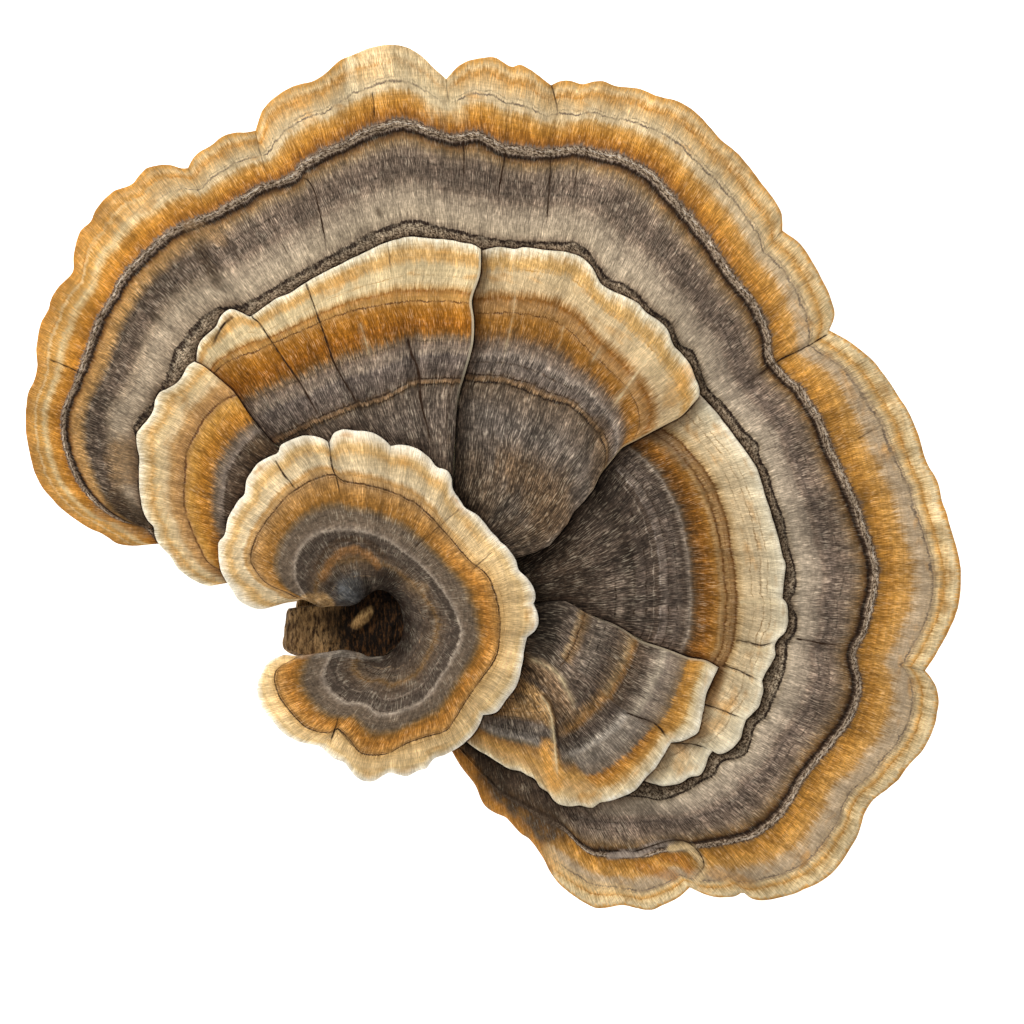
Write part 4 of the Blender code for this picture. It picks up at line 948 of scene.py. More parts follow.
DRESS = {
    "lower_cap": {
        "fine": 3.2,
        "marks": [(0, 4), (0.34, 5), (0.38, 14), (0.43, 15), (0.735, 18), (0.795, 9),
                  (0.955, 4), (0.985, 4)],
        "zones": [(0, 0, LOWER_LEFT_ZONES), (0.19, 0.04, LOWER_ZONES),
                  (0.5, 0.08, LOWER_RIGHT_ZONES)],
        "strips": LOWER_STRIPS, "creases": LOWER_CREASES,
        "lines": LOWER_LINES, "patches": LOWER_PATCHES, "over": LOWER_COVER,
        "relief": [(0.402, 0.013, 0.34), (0.422, 0.004, -0.08), (0.748, 0.006, -0.14),
                   (0.772, 0.013, 0.26), (0.893, 0.007, -0.07), (0.93, 0.02, 0.06)],
        "fray": 0.012, "ruffle": 0.8,
    },
    "left_cap": {
        "fine": 1.5, "marks": [(0, 10), (0.5, 20), (0.76, 14), (0.82, 10), (0.94, 8), (0.985, 5)],
        "zones": [(0, 0, LEFT_ZONES)], "creases": LEFT_CREASES,
        "lines": LEFT_LINES, "patches": LEFT_PATCHES, "over": LEFT_COVER,
        "relief": [(0.784, 0.008, -0.07), (0.62, 0.03, 0.06)], "fray": 0.014, "ruffle": 0.8,
    },
    "middle_cap": {
        "fine": 1.4, "marks": [(0, 10), (0.44, 10), (0.50, 14), (0.765, 14), (0.84, 10),
                               (0.94, 8), (0.985, 5)],
        "zones": [(0, 0, MIDDLE_ZONES)], "creases": MIDDLE_CREASES,
        "lines": MIDDLE_LINES, "patches": MIDDLE_PATCHES, "over": MIDDLE_COVER,
        "edges": [("end", "#FBEBC8", 0.9)],
        "relief": [(0.472, 0.012, 0.14), (0.60, 0.02, 0.06), (0.779, 0.006, -0.07),
                   (0.815, 0.008, -0.04)], "fray": 0.014, "ruffle": 0.8,
    },
    "inner_right_cap": {
        "fine": 1.4, "marks": [(0, 10), (0.47, 12), (0.54, 14), (0.755, 14), (0.84, 10),
                               (0.94, 8), (0.985, 5)],
        "zones": [(0, 0, INNER_RIGHT_ZONES)], "creases": INNER_RIGHT_CREASES,
        "lines": INNER_RIGHT_LINES, "patches": INNER_RIGHT_PATCHES, "over": INNER_RIGHT_COVER,
        "edges": [("end", "#E8CFA0", 0.6)],
        "relief": [(0.512, 0.012, 0.14), (0.605, 0.015, 0.06), (0.765, 0.006, -0.06),
                   (0.822, 0.008, -0.04)], "fray": 0.014, "ruffle": 0.8,
    },
    "right_cap": {
        "fine": 1.8, "marks": [(0, 10), (0.40, 20), (0.69, 20), (0.84, 10), (0.94, 8),
                               (0.985, 5)],
        "zones": [(0, 0, RIGHT_ZONES)], "creases": RIGHT_CREASES,
        "lines": RIGHT_LINES, "patches": RIGHT_PATCHES, "over": RIGHT_COVER,
        "relief": [(0.674, 0.01, 0.05), (0.79, 0.006, -0.06), (0.823, 0.006, -0.06),
                   (0.92, 0.006, -0.04), (0.56, 0.012, 0.04)], "fray": 0.010, "ruffle": 0.8,
    },
    "front_cap": {
        "fine": 1.4, "marks": [(0, 12), (0.36, 30), (0.84, 12), (0.94, 8), (0.985, 5)],
        "zones": [(0, 0, FRONT_ZONES), (0.265, 0.006, FRONT_LOBE_ZONES),
                  (0.515, 0.012, FRONT_LEFT_ZONES)],
        "creases": FRONT_CREASES, "edges": [("start", "#B8A78C", 0.7)],
        "lines": FRONT_LINES, "patches": FRONT_PATCHES, "over": FRONT_COVER,
        "relief": [(0.64, 0.02, 0.07), (0.42, 0.02, 0.06)], "fray": 0.014, "ruffle": 0.8,
    },
    "crown_cap": {
        "fine": 1.9, "marks": [(0, 16), (0.24, 14), (0.40, 10), (0.45, 14), (0.72, 12),
                               (0.78, 10), (0.94, 8), (0.985, 5)],
        "zones": [(0, 0, CROWN_ZONES), (0.45, 0.08, CROWN_RIGHT_ZONES)], "creases": CROWN_CREASES,
        "lines": CROWN_LINES, "patches": CROWN_PATCHES, "over": CROWN_COVER,
        "relief": [(0.418, 0.012, 0.08), (0.262, 0.012, 0.06), (0.74, 0.006, -0.08),
                   (0.86, 0.03, 0.04)], "fray": 0.014, "ruffle": 0.9, "calm": 0.75,
    },
}


# Colours

def paint(code):
    """A colour from its web code, in Blender's linear values."""
    parts = [int(code[start:start + 2], 16) / 255 for start in (1, 3, 5)]
    return tuple(((part + 0.055) / 1.055) ** 2.4 if part > 0.04045 else part / 12.92
                 for part in parts) + (1,)


# Low relief

def mottle(across, along, seed):
    """Soft patches between -0.5 and 0.5, about one unit wide."""
    lattice = np.random.default_rng(seed).random((256, 256))
    column, row = np.floor(across).astype(int), np.floor(along).astype(int)
    right, up = across - column, along - row
    right, up = right * right * (3 - 2 * right), up * up * (3 - 2 * up)
    column, row = column % 255, row % 255
    near = lattice[column, row] * (1 - right) + lattice[column + 1, row] * right
    far = lattice[column, row + 1] * (1 - right) + lattice[column + 1, row + 1] * right
    return near * (1 - up) + far * up - 0.5


def row_marks(marks):
    """Shares of growth for the rows: from each share on, so many rows up to the next."""
    starts = [start for start, _ in marks] + [1.0]
    runs = []
    for (start, count), end in zip(marks, starts[1:]):
        runs.append(np.linspace(start, end, count, endpoint=False))
    return np.concatenate(runs + [[1.0]])


def running_length(points, axis):
    """How far the plan points run along one axis of the grid, in millimetres."""
    steps = np.linalg.norm(np.diff(points, axis=axis), axis=-1) * STEP_MM
    start = np.zeros_like(np.take(steps, [0], axis=axis))
    return np.concatenate([start, np.cumsum(steps, axis=axis)], axis=axis)


def rounded(distance, radius):
    """0 at an edge, rising in a quarter circle to 1 at the radius."""
    return np.sqrt(1 - (1 - np.clip(distance / radius, 0, 1)) ** 2)


def off_segment(x, y, start, end):
    """Steps from a straight stretch, how far along it that is, and on which side of it."""
    dx, dy = end - start
    share = ((x - start[0]) * dx + (y - start[1]) * dy) / max(dx * dx + dy * dy, 0.000001)
    held = np.clip(share, 0, 1)
    away = np.hypot(x - start[0] - held * dx, y - start[1] - held * dy)
    return away, held, np.sign((x - start[0]) * dy - (y - start[1]) * dx)


def crease_field(x, y, creases):
    """Signed distance in mm to the nearest crease, its strength, its width and its step."""
    best = np.full(x.shape, 9.0)
    signed = np.full(x.shape, 9.0)
    strength, step = np.zeros(x.shape), np.zeros(x.shape)
    width = np.full(x.shape, 0.12)
    for points, power, half, rise in creases:
        line = smooth_run(points, 4)
        along = lengths_along(line)
        for index in range(len(line) - 1):
            away, held, side = off_segment(x, y, line[index], line[index + 1])
            away = away * STEP_MM
            nearer = away < best
            place = (along[index] + held * (along[index + 1] - along[index])) / along[-1]
            taper = np.clip(np.minimum(place / 0.04, (1 - place) / 0.3), 0, 1)
            shown = taper * ease(1.6 - away, 0, 0.5)
            best = np.where(nearer, away, best)
            signed = np.where(nearer, away * side, signed)
            strength = np.where(nearer, power * shown, strength)
            step = np.where(nearer, rise * shown, step)
            width = np.where(nearer, half, width)
    return np.clip(signed, -2, 2), strength, width, step


def line_distance(x, y, points):
    """Plan distance to a line of points, or to one point, in steps."""
    line = smooth_run(points, 4) if len(points) > 1 else np.array(points * 2, float)
    best = np.full(x.shape, 999.0)
    for start, end in zip(line, line[1:]):
        best = np.minimum(best, off_segment(x, y, start, end)[0])
    return best


def tint_field(x, y, patches):
    """The patches laid over one another, as a colour and its strength."""
    tint = np.zeros(x.shape + (4,))
    ragged = 1 + 0.5 * mottle(x * 0.22, y * 0.22, 41)
    for points, width, code, strength in patches:
        share = strength * ease(1.5 - line_distance(x, y, points) / width * ragged, 0, 1)
        own = np.array(paint(code)[:3])
        left = 1 - share
        alpha = share + tint[..., 3] * left
        kept = tint[..., :3] * (tint[..., 3:] * left[..., None]) + own * share[..., None]
        tint[..., :3] = kept / np.maximum(alpha, 0.0001)[..., None]
        tint[..., 3] = alpha
    return tint


def cover_distance(x, y, edges):
    """Millimetres from the edge of the nearest cap that lies above."""
    best = np.full(x.shape, 99.0)
    for edge in edges:
        best = np.minimum(best, line_distance(x, y, edge))
    return best * STEP_MM


def zone_place(rows, across):
    """Where the lower cap's zones lie: its rows moved to the places the colours are given for."""
    shares = [share for share, _ in LOWER_STATIONS]
    knots = np.array([marks for _, marks in LOWER_STATIONS])
    place = np.empty((len(rows), len(across)))
    for column, share in enumerate(across):
        own = [np.interp(share, shares, knots[:, knot]) for knot in range(knots.shape[1])]
        place[:, column] = np.interp(rows, own, LOWER_FIXED)
    return place


def low_relief(dress, zone, sweep, reach):
    """Ridges and grooves that follow the zones, in millimetres."""
    lift = np.zeros_like(zone)
    uneven = 1 + 0.7 * mottle(sweep * 0.9, reach * 1.5, 11)
    for centre, width, height in dress["relief"]:
        lift += height * np.exp(-(((zone - centre) / width) ** 2)) * uneven
    lift += 0.22 * mottle(sweep * 0.35, reach * 0.08, 12) + 0.08 * mottle(sweep, reach * 0.3, 13)
    return lift


def ruffled(plan, rows, along, amount):
    """The plan with small uneven waves worked into its rim."""
    mm = along * STEP_MM
    wave = mottle(mm * 0.55, mm * 0, 21) + 0.6 * mottle(mm * 1.4, mm * 0, 22)
    outward = plan[-1] - plan[-4]
    outward /= np.maximum(np.linalg.norm(outward, axis=1, keepdims=True), 0.001)
    return plan + ease(rows, 0.9, 1)[:, None, None] * (amount * wave[:, None] * outward)[None]


def narrowing(side):
    """How often the spacing of the columns has halved since the rim, smoothed along it."""
    spacing = np.gradient(side, axis=1)
    even = np.ones(31) / 31
    spacing = np.array([np.convolve(np.pad(row, 15, mode="edge"), even, "valid")
                        for row in spacing])
    halved = np.log2(np.maximum(spacing[-1:], 0.001) / np.maximum(spacing, 0.001))
    return np.clip(halved, 0, 3)


def cap_shape(name):
    """Everything about one cap's grid: places of the top and the underside, and its fields."""
    cap, dress = CAPS[name], DRESS[name]
    rows = row_marks(dress["marks"])
    plan, along, notches = sheet(cap, dress["fine"], rows)
    plan = ruffled(plan, rows, along, dress["ruffle"])
    x, y = plan[..., 0], plan[..., 1]
    across = along / along[-1]
    swell = lobes(along, notches, cap["wave"])
    top = cap["height"](rows, across, swell, x, y) + common_wave(x, y)
    depth = thickness_at(rows, *cap["thickness"])[:, None]
    reach = running_length(plan, 0)
    side = running_length(plan, 1)
    from_rim = reach[-1] - reach
    to_side = np.minimum(side, side[:, -1:] - side)
    sweep = np.broadcast_to(along[None] * STEP_MM, x.shape)
    zone = np.broadcast_to(rows[:, None], x.shape)
    if name == "lower_cap":
        zone = zone_place(rows, across)
    signed, strength, width, step = crease_field(x, y, dress["creases"])
    lift = low_relief(dress, zone, sweep, reach)
    lift += 0.5 * step * np.sign(signed) * np.exp(-np.abs(signed) / 0.9)
    lift -= 0.16 * np.maximum(strength, 0) * np.exp(-((signed / 0.3) ** 2))
    lift *= rounded(from_rim, 0.6) * rounded(reach, 0.8) * rounded(to_side, 0.5)
    thick = rounded(from_rim, 0.45) * rounded(reach, 0.6) * rounded(to_side, 0.4)
    middle = top - depth / 2
    fields = {
        "growth": zone, "sweep": sweep, "reach": reach, "side_distance": to_side,
        "crease": signed, "crease_strength": strength, "crease_width": width,
        "level": narrowing(side), "share": np.broadcast_to(across[None], x.shape),
        "cover": cover_distance(x, y, dress["over"]),
    }
    return {
        "x": x, "y": y, "top": middle + depth / 2 * thick + lift,
        "under": middle - depth / 2 * thick, "fields": fields,
        "tint": tint_field(x, y, dress["patches"]),
    }


# Pieces

def grid_piece(name, places, fields, tint, split, materials):
    """A closed piece from a grid whose rows run over the underside and back over the top."""
    rows, columns = places.shape[:2]
    bm = bmesh.new()
    bmesh.ops.create_grid(bm, x_segments=columns - 1, y_segments=rows - 1, size=1)
    mesh = bpy.data.meshes.new(name)
    bm.to_mesh(mesh)
    bm.free()
    inside = np.clip(places.reshape(-1, 3), LOWEST, HIGHEST)
    mesh.vertices.foreach_set("co", inside.astype(np.float32).ravel())
    for field, values in fields.items():
        layer = mesh.attributes.new(field, "FLOAT", "POINT")
        layer.data.foreach_set("value", values.astype(np.float32).ravel())
    if tint is not None:
        layer = mesh.attributes.new("tint", "FLOAT_COLOR", "POINT")
        layer.data.foreach_set("color", tint.astype(np.float32).ravel())
    for finish in materials:
        mesh.materials.append(finish)
    under = np.arange(len(mesh.polygons)) // (columns - 1) < split
    mesh.polygons.foreach_set("material_index", under.astype(np.int32))
    bm = bmesh.new()
    bm.from_mesh(mesh)
    bmesh.ops.remove_doubles(bm, verts=bm.verts[:], dist=0.000002)
    bmesh.ops.recalc_face_normals(bm, faces=bm.faces[:])
    bm.to_mesh(mesh)
    bm.free()
    mesh.shade_smooth()
    piece = bpy.data.objects.new(name, mesh)
    bpy.context.scene.collection.objects.link(piece)
    return piece


def settle(piece, node):
    """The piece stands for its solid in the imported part."""
    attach(piece, "root")
    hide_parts(node)


def underside_rows(count):
    """The plain underside has every sixth row, and more of them near its two ends."""
    between = np.arange(2, count - 6, 6)
    return np.unique(np.concatenate([[0, 1], between, [count - 5, count - 3, count - 2]]))


def grow_cap(name, pores):
    """One cap: its underside from root to rim, and its top from the rim back to the root."""
    shape = cap_shape(name)
    count = shape["x"].shape[0]
    under = underside_rows(count)
    order = np.arange(count)[::-1]

    def wrapped(low, high):
        return np.concatenate([low[under], high[order]])

    places = np.stack([
        (wrapped(shape["x"], shape["x"]) - MIDDLE[0]) * STEP,
        (MIDDLE[1] - wrapped(shape["y"], shape["y"])) * STEP,
        wrapped(shape["under"], shape["top"]) * MM,
    ], axis=-1)
    fields = {field: wrapped(values, values) for field, values in shape["fields"].items()}
    tint = wrapped(shape["tint"], shape["tint"])
    skins = [cap_skin(name), pores]
    piece = grid_piece(f"{name}_skin", places, fields, tint, len(under), skins)
    settle(piece, name)


def base_rings():
    """Plan points, heights and radii of the base's rings, from the cut up to the hollow."""
    angles = np.linspace(-math.pi, math.pi, BASE_SIDES + 1)
    levels = base_levels(angles)
    radii = np.array([level[0] for level in levels] + [levels[-1][0] * POLE])
    heights = np.array([level[1] for level in levels] + [HOLLOW_FLOOR])
    radii = np.vstack([radii[:1] * POLE, radii[:1] * 0.5, radii])
    heights = np.concatenate([[0, 0], heights])
    runs = np.hypot(np.diff(radii.mean(axis=1)) * STEP_MM, np.diff(heights))
    stops = np.concatenate([[0], np.cumsum(runs)])
    marks = np.unique(np.concatenate([stops, np.arange(0, stops[-1], BASE_SPACING)]))
    radius = np.array([np.interp(marks, stops, column) for column in radii.T]).T
    level = np.broadcast_to(np.interp(marks, stops, heights)[:, None], radius.shape)
    x = BASE_CENTRE[0] + radius * np.cos(angles)[None]
    y = BASE_CENTRE[1] - radius * np.sin(angles)[None]
    return x, y, level, radius


def grow_base():
    """The base: its outlines followed closely, roughened, with a nub in the hollow."""
    x, y, level, radius = base_rings()
    rough = mottle(x * 0.16 + level * 1.3, y * 0.16 + level, 31)
    rough += 0.6 * mottle(x * 0.37 + level * 2.6, y * 0.37 - level, 32)
    inward = ease(level, 0.05, 0.6) * (0.006 + 0.01 * rough) * np.minimum(radius / 60, 1)
    x -= (x - BASE_CENTRE[0]) * inward
    y -= (y - BASE_CENTRE[1]) * inward
    lengthwise = (x - NUB[0]) * 0.7 - (y - NUB[1]) * 0.7
    crosswise = (x - NUB[0]) * 0.7 + (y - NUB[1]) * 0.7
    nub = np.exp(-((lengthwise / NUB_LENGTH) ** 2 + (crosswise / NUB_WIDTH) ** 2))
    nub = nub * ease(level, 11.6, 12.1)
    hollow = np.exp(-((x - HOLLOW[0]) ** 2 + (y - HOLLOW[1]) ** 2) / HOLLOW_REACH**2)
    level = level + ease(level, 11.6, 12.0) * (0.5 * rough - 0.1) + NUB_HEIGHT * nub
    places = np.stack([(x - MIDDLE[0]) * STEP, (MIDDLE[1] - y) * STEP, level * MM], axis=-1)
    places[:, -1] = places[:, 0]
    places[0] = places[0].mean(axis=0)
    places[-1] = places[-1].mean(axis=0)
    piece = grid_piece("base_flesh", places, {"nub": nub, "hollow": hollow}, None, 0,
                       [base_flesh()])
    settle(piece, "base")


# Materials: hairs as width and length in millimetres, bumps as depth in metres

HAIR = (0.115, 1.3)
TUFT = (0.36, 3.0)
FIBRE_STRETCH = (1.0, 0.25, 0.25)
SKIN_DEPTH = 0.00012
PORE_DEPTH = 0.00015
FIBRE_DEPTH = 0.0004
SHINE = 0.12
NEVER_CALM = -1
OCHRE_BLUSH = "#CE9448"
PALE_HAIR = "#F2E2C4"
CREASE_SHADE = "#2E1D10"
CREASE_HIGHLIGHT = "#E6CFA2"
CONTACT_SHADOW = "#5E4230"
SOFT_SHADOW = "#8A705A"
CREAM_FLESH = "#E9DCBF"
TAN_FLESH = "#D3BE94"
PORE_RIM = "#A58A62"
ROOT_BROWN = "#2E1F14"
MOSS_DARK = "#2B1C10"
MOSS_PALE = "#A9875C"
MOSS_BROWN = "#4F3822"
HOLLOW_SHADE_DARK = "#120B06"
HOLLOW_SHADE_BROWN = "#4E331B"
NUB_BROWN = "#6A4C2C"
NUB_TAN = "#B8935F"


class Amount:
    """A number that changes over the surface, written in plain arithmetic."""

    def __init__(self, finish, socket):
        self.finish = finish
        self.socket = socket

    def maths(self, operation, *values):
        node = self.finish.node("ShaderNodeMath", {"operation": operation},
                                dict(enumerate(values)))
        return Amount(self.finish, node.outputs[0])

    def __add__(self, other):
        return self.maths("ADD", self, other)

    def __radd__(self, other):
        return self.maths("ADD", other, self)

    def __sub__(self, other):
        return self.maths("SUBTRACT", self, other)

    def __rsub__(self, other):
        return self.maths("SUBTRACT", other, self)

    def __mul__(self, other):
        return self.maths("MULTIPLY", self, other)

    def __rmul__(self, other):
        return self.maths("MULTIPLY", other, self)

    def __truediv__(self, other):
        return self.maths("DIVIDE", self, other)

    def __rtruediv__(self, other):
        return self.maths("DIVIDE", other, self)

    def __rpow__(self, other):
        return self.maths("POWER", other, self)

    def __abs__(self):
        return self.maths("ABSOLUTE", self)


class Finish:
    """A material in the making."""

    def __init__(self, name, roughness):
        self.material = bpy.data.materials.new(name)
        self.material.use_nodes = True
        self.tree = self.material.node_tree
        self.shader = self.tree.nodes["Principled BSDF"]
        self.shader.inputs["Roughness"].default_value = roughness
        self.shader.inputs["Specular IOR Level"].default_value = SHINE

    def node(self, kind, settings, values):
        """One node: its settings first, then the values or links of its sockets."""
        made = self.tree.nodes.new(kind)
        for key, value in settings.items():
            if key == "stops":
                self.set_stops(made.color_ramp, value)
            else:
                setattr(made, key, value)
        for key, value in values.items():
            self.feed(made.inputs[key], value)
        return made

    def set_stops(self, ramp, stops):
        ramp.elements.remove(ramp.elements[1])
        for index, (place, colour) in enumerate(stops):
            stop = ramp.elements[0] if index == 0 else ramp.elements.new(place)
            stop.position = place
            stop.color = colour

    def feed(self, socket, value):
        if isinstance(value, Amount):
            value = value.socket
        if isinstance(value, bpy.types.NodeSocket):
            self.tree.links.new(value, socket)
        else:
            socket.default_value = value

    def field(self, name):
        node = self.node("ShaderNodeAttribute", {"attribute_name": name}, {})
        return Amount(self, node.outputs["Fac"])

    def place(self):
        return self.node("ShaderNodeTexCoord", {}, {}).outputs["Object"]

    def point(self, x, y, z):
        return self.node("ShaderNodeCombineXYZ", {}, {0: x, 1: y, 2: z}).outputs[0]

    def noise(self, where, scale, detail, roughness):
        node = self.node("ShaderNodeTexNoise", {},
                         {"Vector": where, "Scale": scale, "Detail": detail,
                          "Roughness": roughness})
        return Amount(self, node.outputs[0])

    def grown(self, across, outward, seed, detail, roughness):
        """Noise in a cap's own directions, across its growth and outward from its root."""
        return self.noise(self.point(across, outward, seed), 1.0, detail, roughness)

    def parted(self, value, soft):
        """Noise pushed apart into dark and light, from -0.5 to 0.5."""
        return self.rise(value, 0.5 - soft, 0.5 + soft) - 0.5

    def rise(self, value, low, high):
        """0 below low and 1 above high."""
        node = self.node("ShaderNodeMapRange", {"interpolation_type": "SMOOTHSTEP"},
                         {0: value, 1: low, 2: high, 3: 0.0, 4: 1.0})
        return Amount(self, node.outputs[0])

    def band(self, value, low, high, soft):
        """1 between low and high, with soft sides."""
        return self.rise(value, low - soft, low + soft) * (
            1 - self.rise(value, high - soft, high + soft))

    def mixed(self, share, one, other, kind="MIX"):
        node = self.node("ShaderNodeMix", {"data_type": "RGBA", "blend_type": kind},
                         {0: share, 6: one, 7: other})
        return node.outputs[2]

    def between(self, share, one, other):
        return one + share * (other - one)

    def scaled(self, colour, amount):
        node = self.node("ShaderNodeVectorMath", {"operation": "SCALE"}, {0: colour, 3: amount})
        return node.outputs[0]

    def ramp(self, value, stops):
        """The zones' colours, and the strength of the streaks kept in their alpha."""
        colours = [(place, paint(code)[:3] + (streak,)) for place, code, streak in stops]
        node = self.node("ShaderNodeValToRGB", {"stops": colours}, {0: value})
        return node.outputs[0], Amount(self, node.outputs[1])

    def finished(self, colour, height, distance, strength):
        self.feed(self.shader.inputs["Base Color"], colour)
        bump = self.node("ShaderNodeBump", {}, {"Height": height, "Distance": distance,
                                                "Strength": strength})
        self.feed(self.shader.inputs["Normal"], bump.outputs[0])
        return self.material


def hair_field(finish, sweep, reach, level, size, seed):
    """Fine hairs lying towards the rim, kept about as wide where the cap narrows."""
    width, length = size
    near = finish.grown(sweep / width, reach / length, seed, 1.0, 0.65)
    far = finish.grown(sweep * (0.42 / width), reach / length, seed + 3, 1.0, 0.65)
    return finish.between(finish.rise(level, 0.35, 1.1), near, far)


class Growth:
    """The fields and noises that colour the skin of a cap."""

    def __init__(self, finish):
        names = ("growth", "sweep", "reach", "share")
        self.zone, self.sweep, self.reach, self.share = (finish.field(name) for name in names)
        here = finish.place()
        self.broad = finish.noise(here, 110.0, 2.0, 0.5) - 0.5
        self.mottled = finish.noise(here, 620.0, 3.0, 0.75) - 0.5
        self.grain = finish.noise(here, 2300.0, 1.0, 0.8) - 0.5
        sweep, reach, level = self.sweep, self.reach, finish.field("level")
        self.drift = finish.grown(sweep * 0.5, reach * 0.6, 3.1, 1.0, 0.5) - 0.5
        kink = finish.grown(sweep * 0.28, reach * 0.08, 6.2, 2.0, 0.6) - 0.5
        lean = sweep + 0.4 * self.drift
        self.hairs = finish.parted(hair_field(finish, lean, reach, level, HAIR, 5.0), 0.14)
        self.tufts = finish.parted(hair_field(finish, lean, reach, level, TUFT, 9.0), 0.14)
        # Painted shade and light of broad radial folds
        self.fold_shade = finish.parted(finish.grown(lean * 0.28, reach * 0.06, 1.3, 2.0, 0.6), 0.2)
        self.pleats = finish.parted(finish.grown(lean * 0.9, reach * 0.12, 4.4, 2.0, 0.6), 0.2)
        self.rings = finish.grown(sweep * 0.06, reach * 2.6, 2.0, 2.0, 0.7) - 0.5
        self.wander = self.zone + 0.010 * self.broad + 0.006 * self.mottled + 0.014 * kink


def zone_colours(finish, growth, zones, fray):
    """The colours of the zones, changing from one set to the next along the rim."""
    frayed = growth.wander + fray * (
        0.5 * growth.hairs + 0.6 * growth.tufts + 0.5 * growth.pleats)
    colour, streak = finish.ramp(frayed, zones[0][2])
    for turn, soft, stops in zones[1:]:
        next_colour, next_streak = finish.ramp(frayed, stops)
        passed = finish.rise(growth.share, turn - soft, turn + soft)
        colour = finish.mixed(passed, colour, next_colour)
        streak = finish.between(passed, streak, next_streak)
    return colour, streak


def blushed(finish, growth, colour):
    """Ochre clouds in the pale growth next to the rim."""
    blush = finish.grown(growth.sweep * 0.25, growth.reach * 0.5, 7.5, 2.0, 0.6)
    blush = finish.rise(blush, 0.5, 0.75) * finish.band(growth.wander, 0.87, 0.985, 0.012)
    return finish.mixed(0.6 * blush, colour, paint(OCHRE_BLUSH))


def flecked(finish, growth, colour, strips, fray):
    """Strips of growth covered in dark and pale flecks."""
    for low, high, tilt, dark, pale in strips:
        flecks = finish.grown(growth.sweep * 2.2 + growth.reach * 1.2, growth.reach * 4.4, low,
                              2.0, 0.8)
        across = (growth.wander - low) / (high - low)
        flecks = finish.rise(flecks - tilt * 0.3 * (across - 0.45), 0.38, 0.62)
        inside = finish.band(growth.wander + 0.15 * fray * growth.tufts, low, high, 0.002)
        colour = finish.mixed(inside, colour, finish.mixed(flecks, paint(dark), paint(pale)))
    return colour


def lined(finish, growth, colour, lines, bare, fray):
    """Thin uneven lines that follow the growth and stop at the patches."""
    for place, half, code, strength, *start in lines:
        away = abs(growth.wander + 0.25 * fray * growth.tufts + 0.014 * growth.mottled - place)
        line = (1 - finish.rise(away, 0.2 * half, 1.4 * half)) * (
            strength + 2.6 * growth.mottled + 0.8 * growth.pleats) * bare
        if start:
            line = line * finish.rise(growth.share, start[0] - 0.03, start[0] + 0.03)
        colour = finish.mixed(line, colour, paint(code))
    return colour


def streaked(finish, growth, colour, streak, calm_share):
    """Hairs, tufts and rings as lighter and darker streaks, painted shade and light of radial
    folds and pleats, and pale tips of hair.
    """
    calm = finish.rise(growth.zone, calm_share - 0.3, calm_share)
    outer = finish.rise(growth.zone, 0.62, 0.8)
    shade = calm * (
        1.7 * growth.hairs + 0.6 * growth.tufts + 0.9 * growth.fold_shade + 0.6 * growth.pleats)
    shade = shade + 2.2 * growth.grain + 2.0 * growth.mottled
    shade = shade + (1.8 - 0.9 * calm) * growth.rings - 0.14
    bands = outer * (0.7 * growth.rings + 0.30 * growth.pleats + 0.22 * growth.fold_shade)
    stops = streak * (1 - 0.38 * outer) * shade + bands + 0.45 * growth.broad
    colour = finish.scaled(colour, 2.0 ** stops)
    tips = finish.rise(growth.hairs + 1.5 * growth.mottled, 0.2, 0.9) * streak * 0.3
    return finish.mixed(tips, colour, paint(PALE_HAIR))


def creased(finish, growth, colour):
    """Painted shade down the creases, and painted highlight along folds and lobe edges where the
    strength is negative.
    """
    crease = finish.field("crease") + 0.3 * growth.mottled
    strength = finish.field("crease_strength")
    width = finish.field("crease_width") * (0.9 + 1.2 * growth.drift)
    line = 1 - finish.rise(abs(crease) / width, 0.2, 1.2)
    shade = 1 - finish.rise(abs(crease) / width, 0.6, 5.0)
    dark = finish.rise(strength, 0.0, 1.0) * (0.75 * line + 0.22 * shade)
    pale = finish.rise(0 - strength, 0.0, 1.0) * (0.45 * line + 0.25 * shade)
    # Painted shade along the dark creases and painted highlight along the pale ones
    colour = finish.mixed(dark * (1.0 + 2.0 * growth.mottled), colour, paint(CREASE_SHADE))
    return finish.mixed(pale * (1.0 + 4.0 * growth.mottled), colour, paint(CREASE_HIGHLIGHT))


def edged(finish, growth, colour, edges):
    """A pale edge down one side of the cap."""
    for side, code, strength in edges:
        past = finish.rise(growth.share, 0.45, 0.55)
        own = past if side == "end" else 1 - past
        rim = 1 - finish.rise(finish.field("side_distance"), 0.12, 0.4)
        shown = own * rim * finish.rise(growth.zone, 0.3, 0.75) * strength
        colour = finish.mixed(shown, colour, paint(code))
    return colour


def shaded(finish, growth, colour):
    """Painted shade on the skin beside the edge of a cap that lies above."""
    cover = finish.field("cover") + 0.3 * growth.mottled
    # Painted contact shadow right beside the edge above, then a wider painted soft shade
    close = 1 - finish.rise(cover, 0.05, 0.36)
    colour = finish.mixed(close, colour, paint(CONTACT_SHADOW), "MULTIPLY")
    wide = 0.6 - 0.6 * finish.rise(cover, 0.1, 1.9)
    return finish.mixed(wide, colour, paint(SOFT_SHADOW), "MULTIPLY")


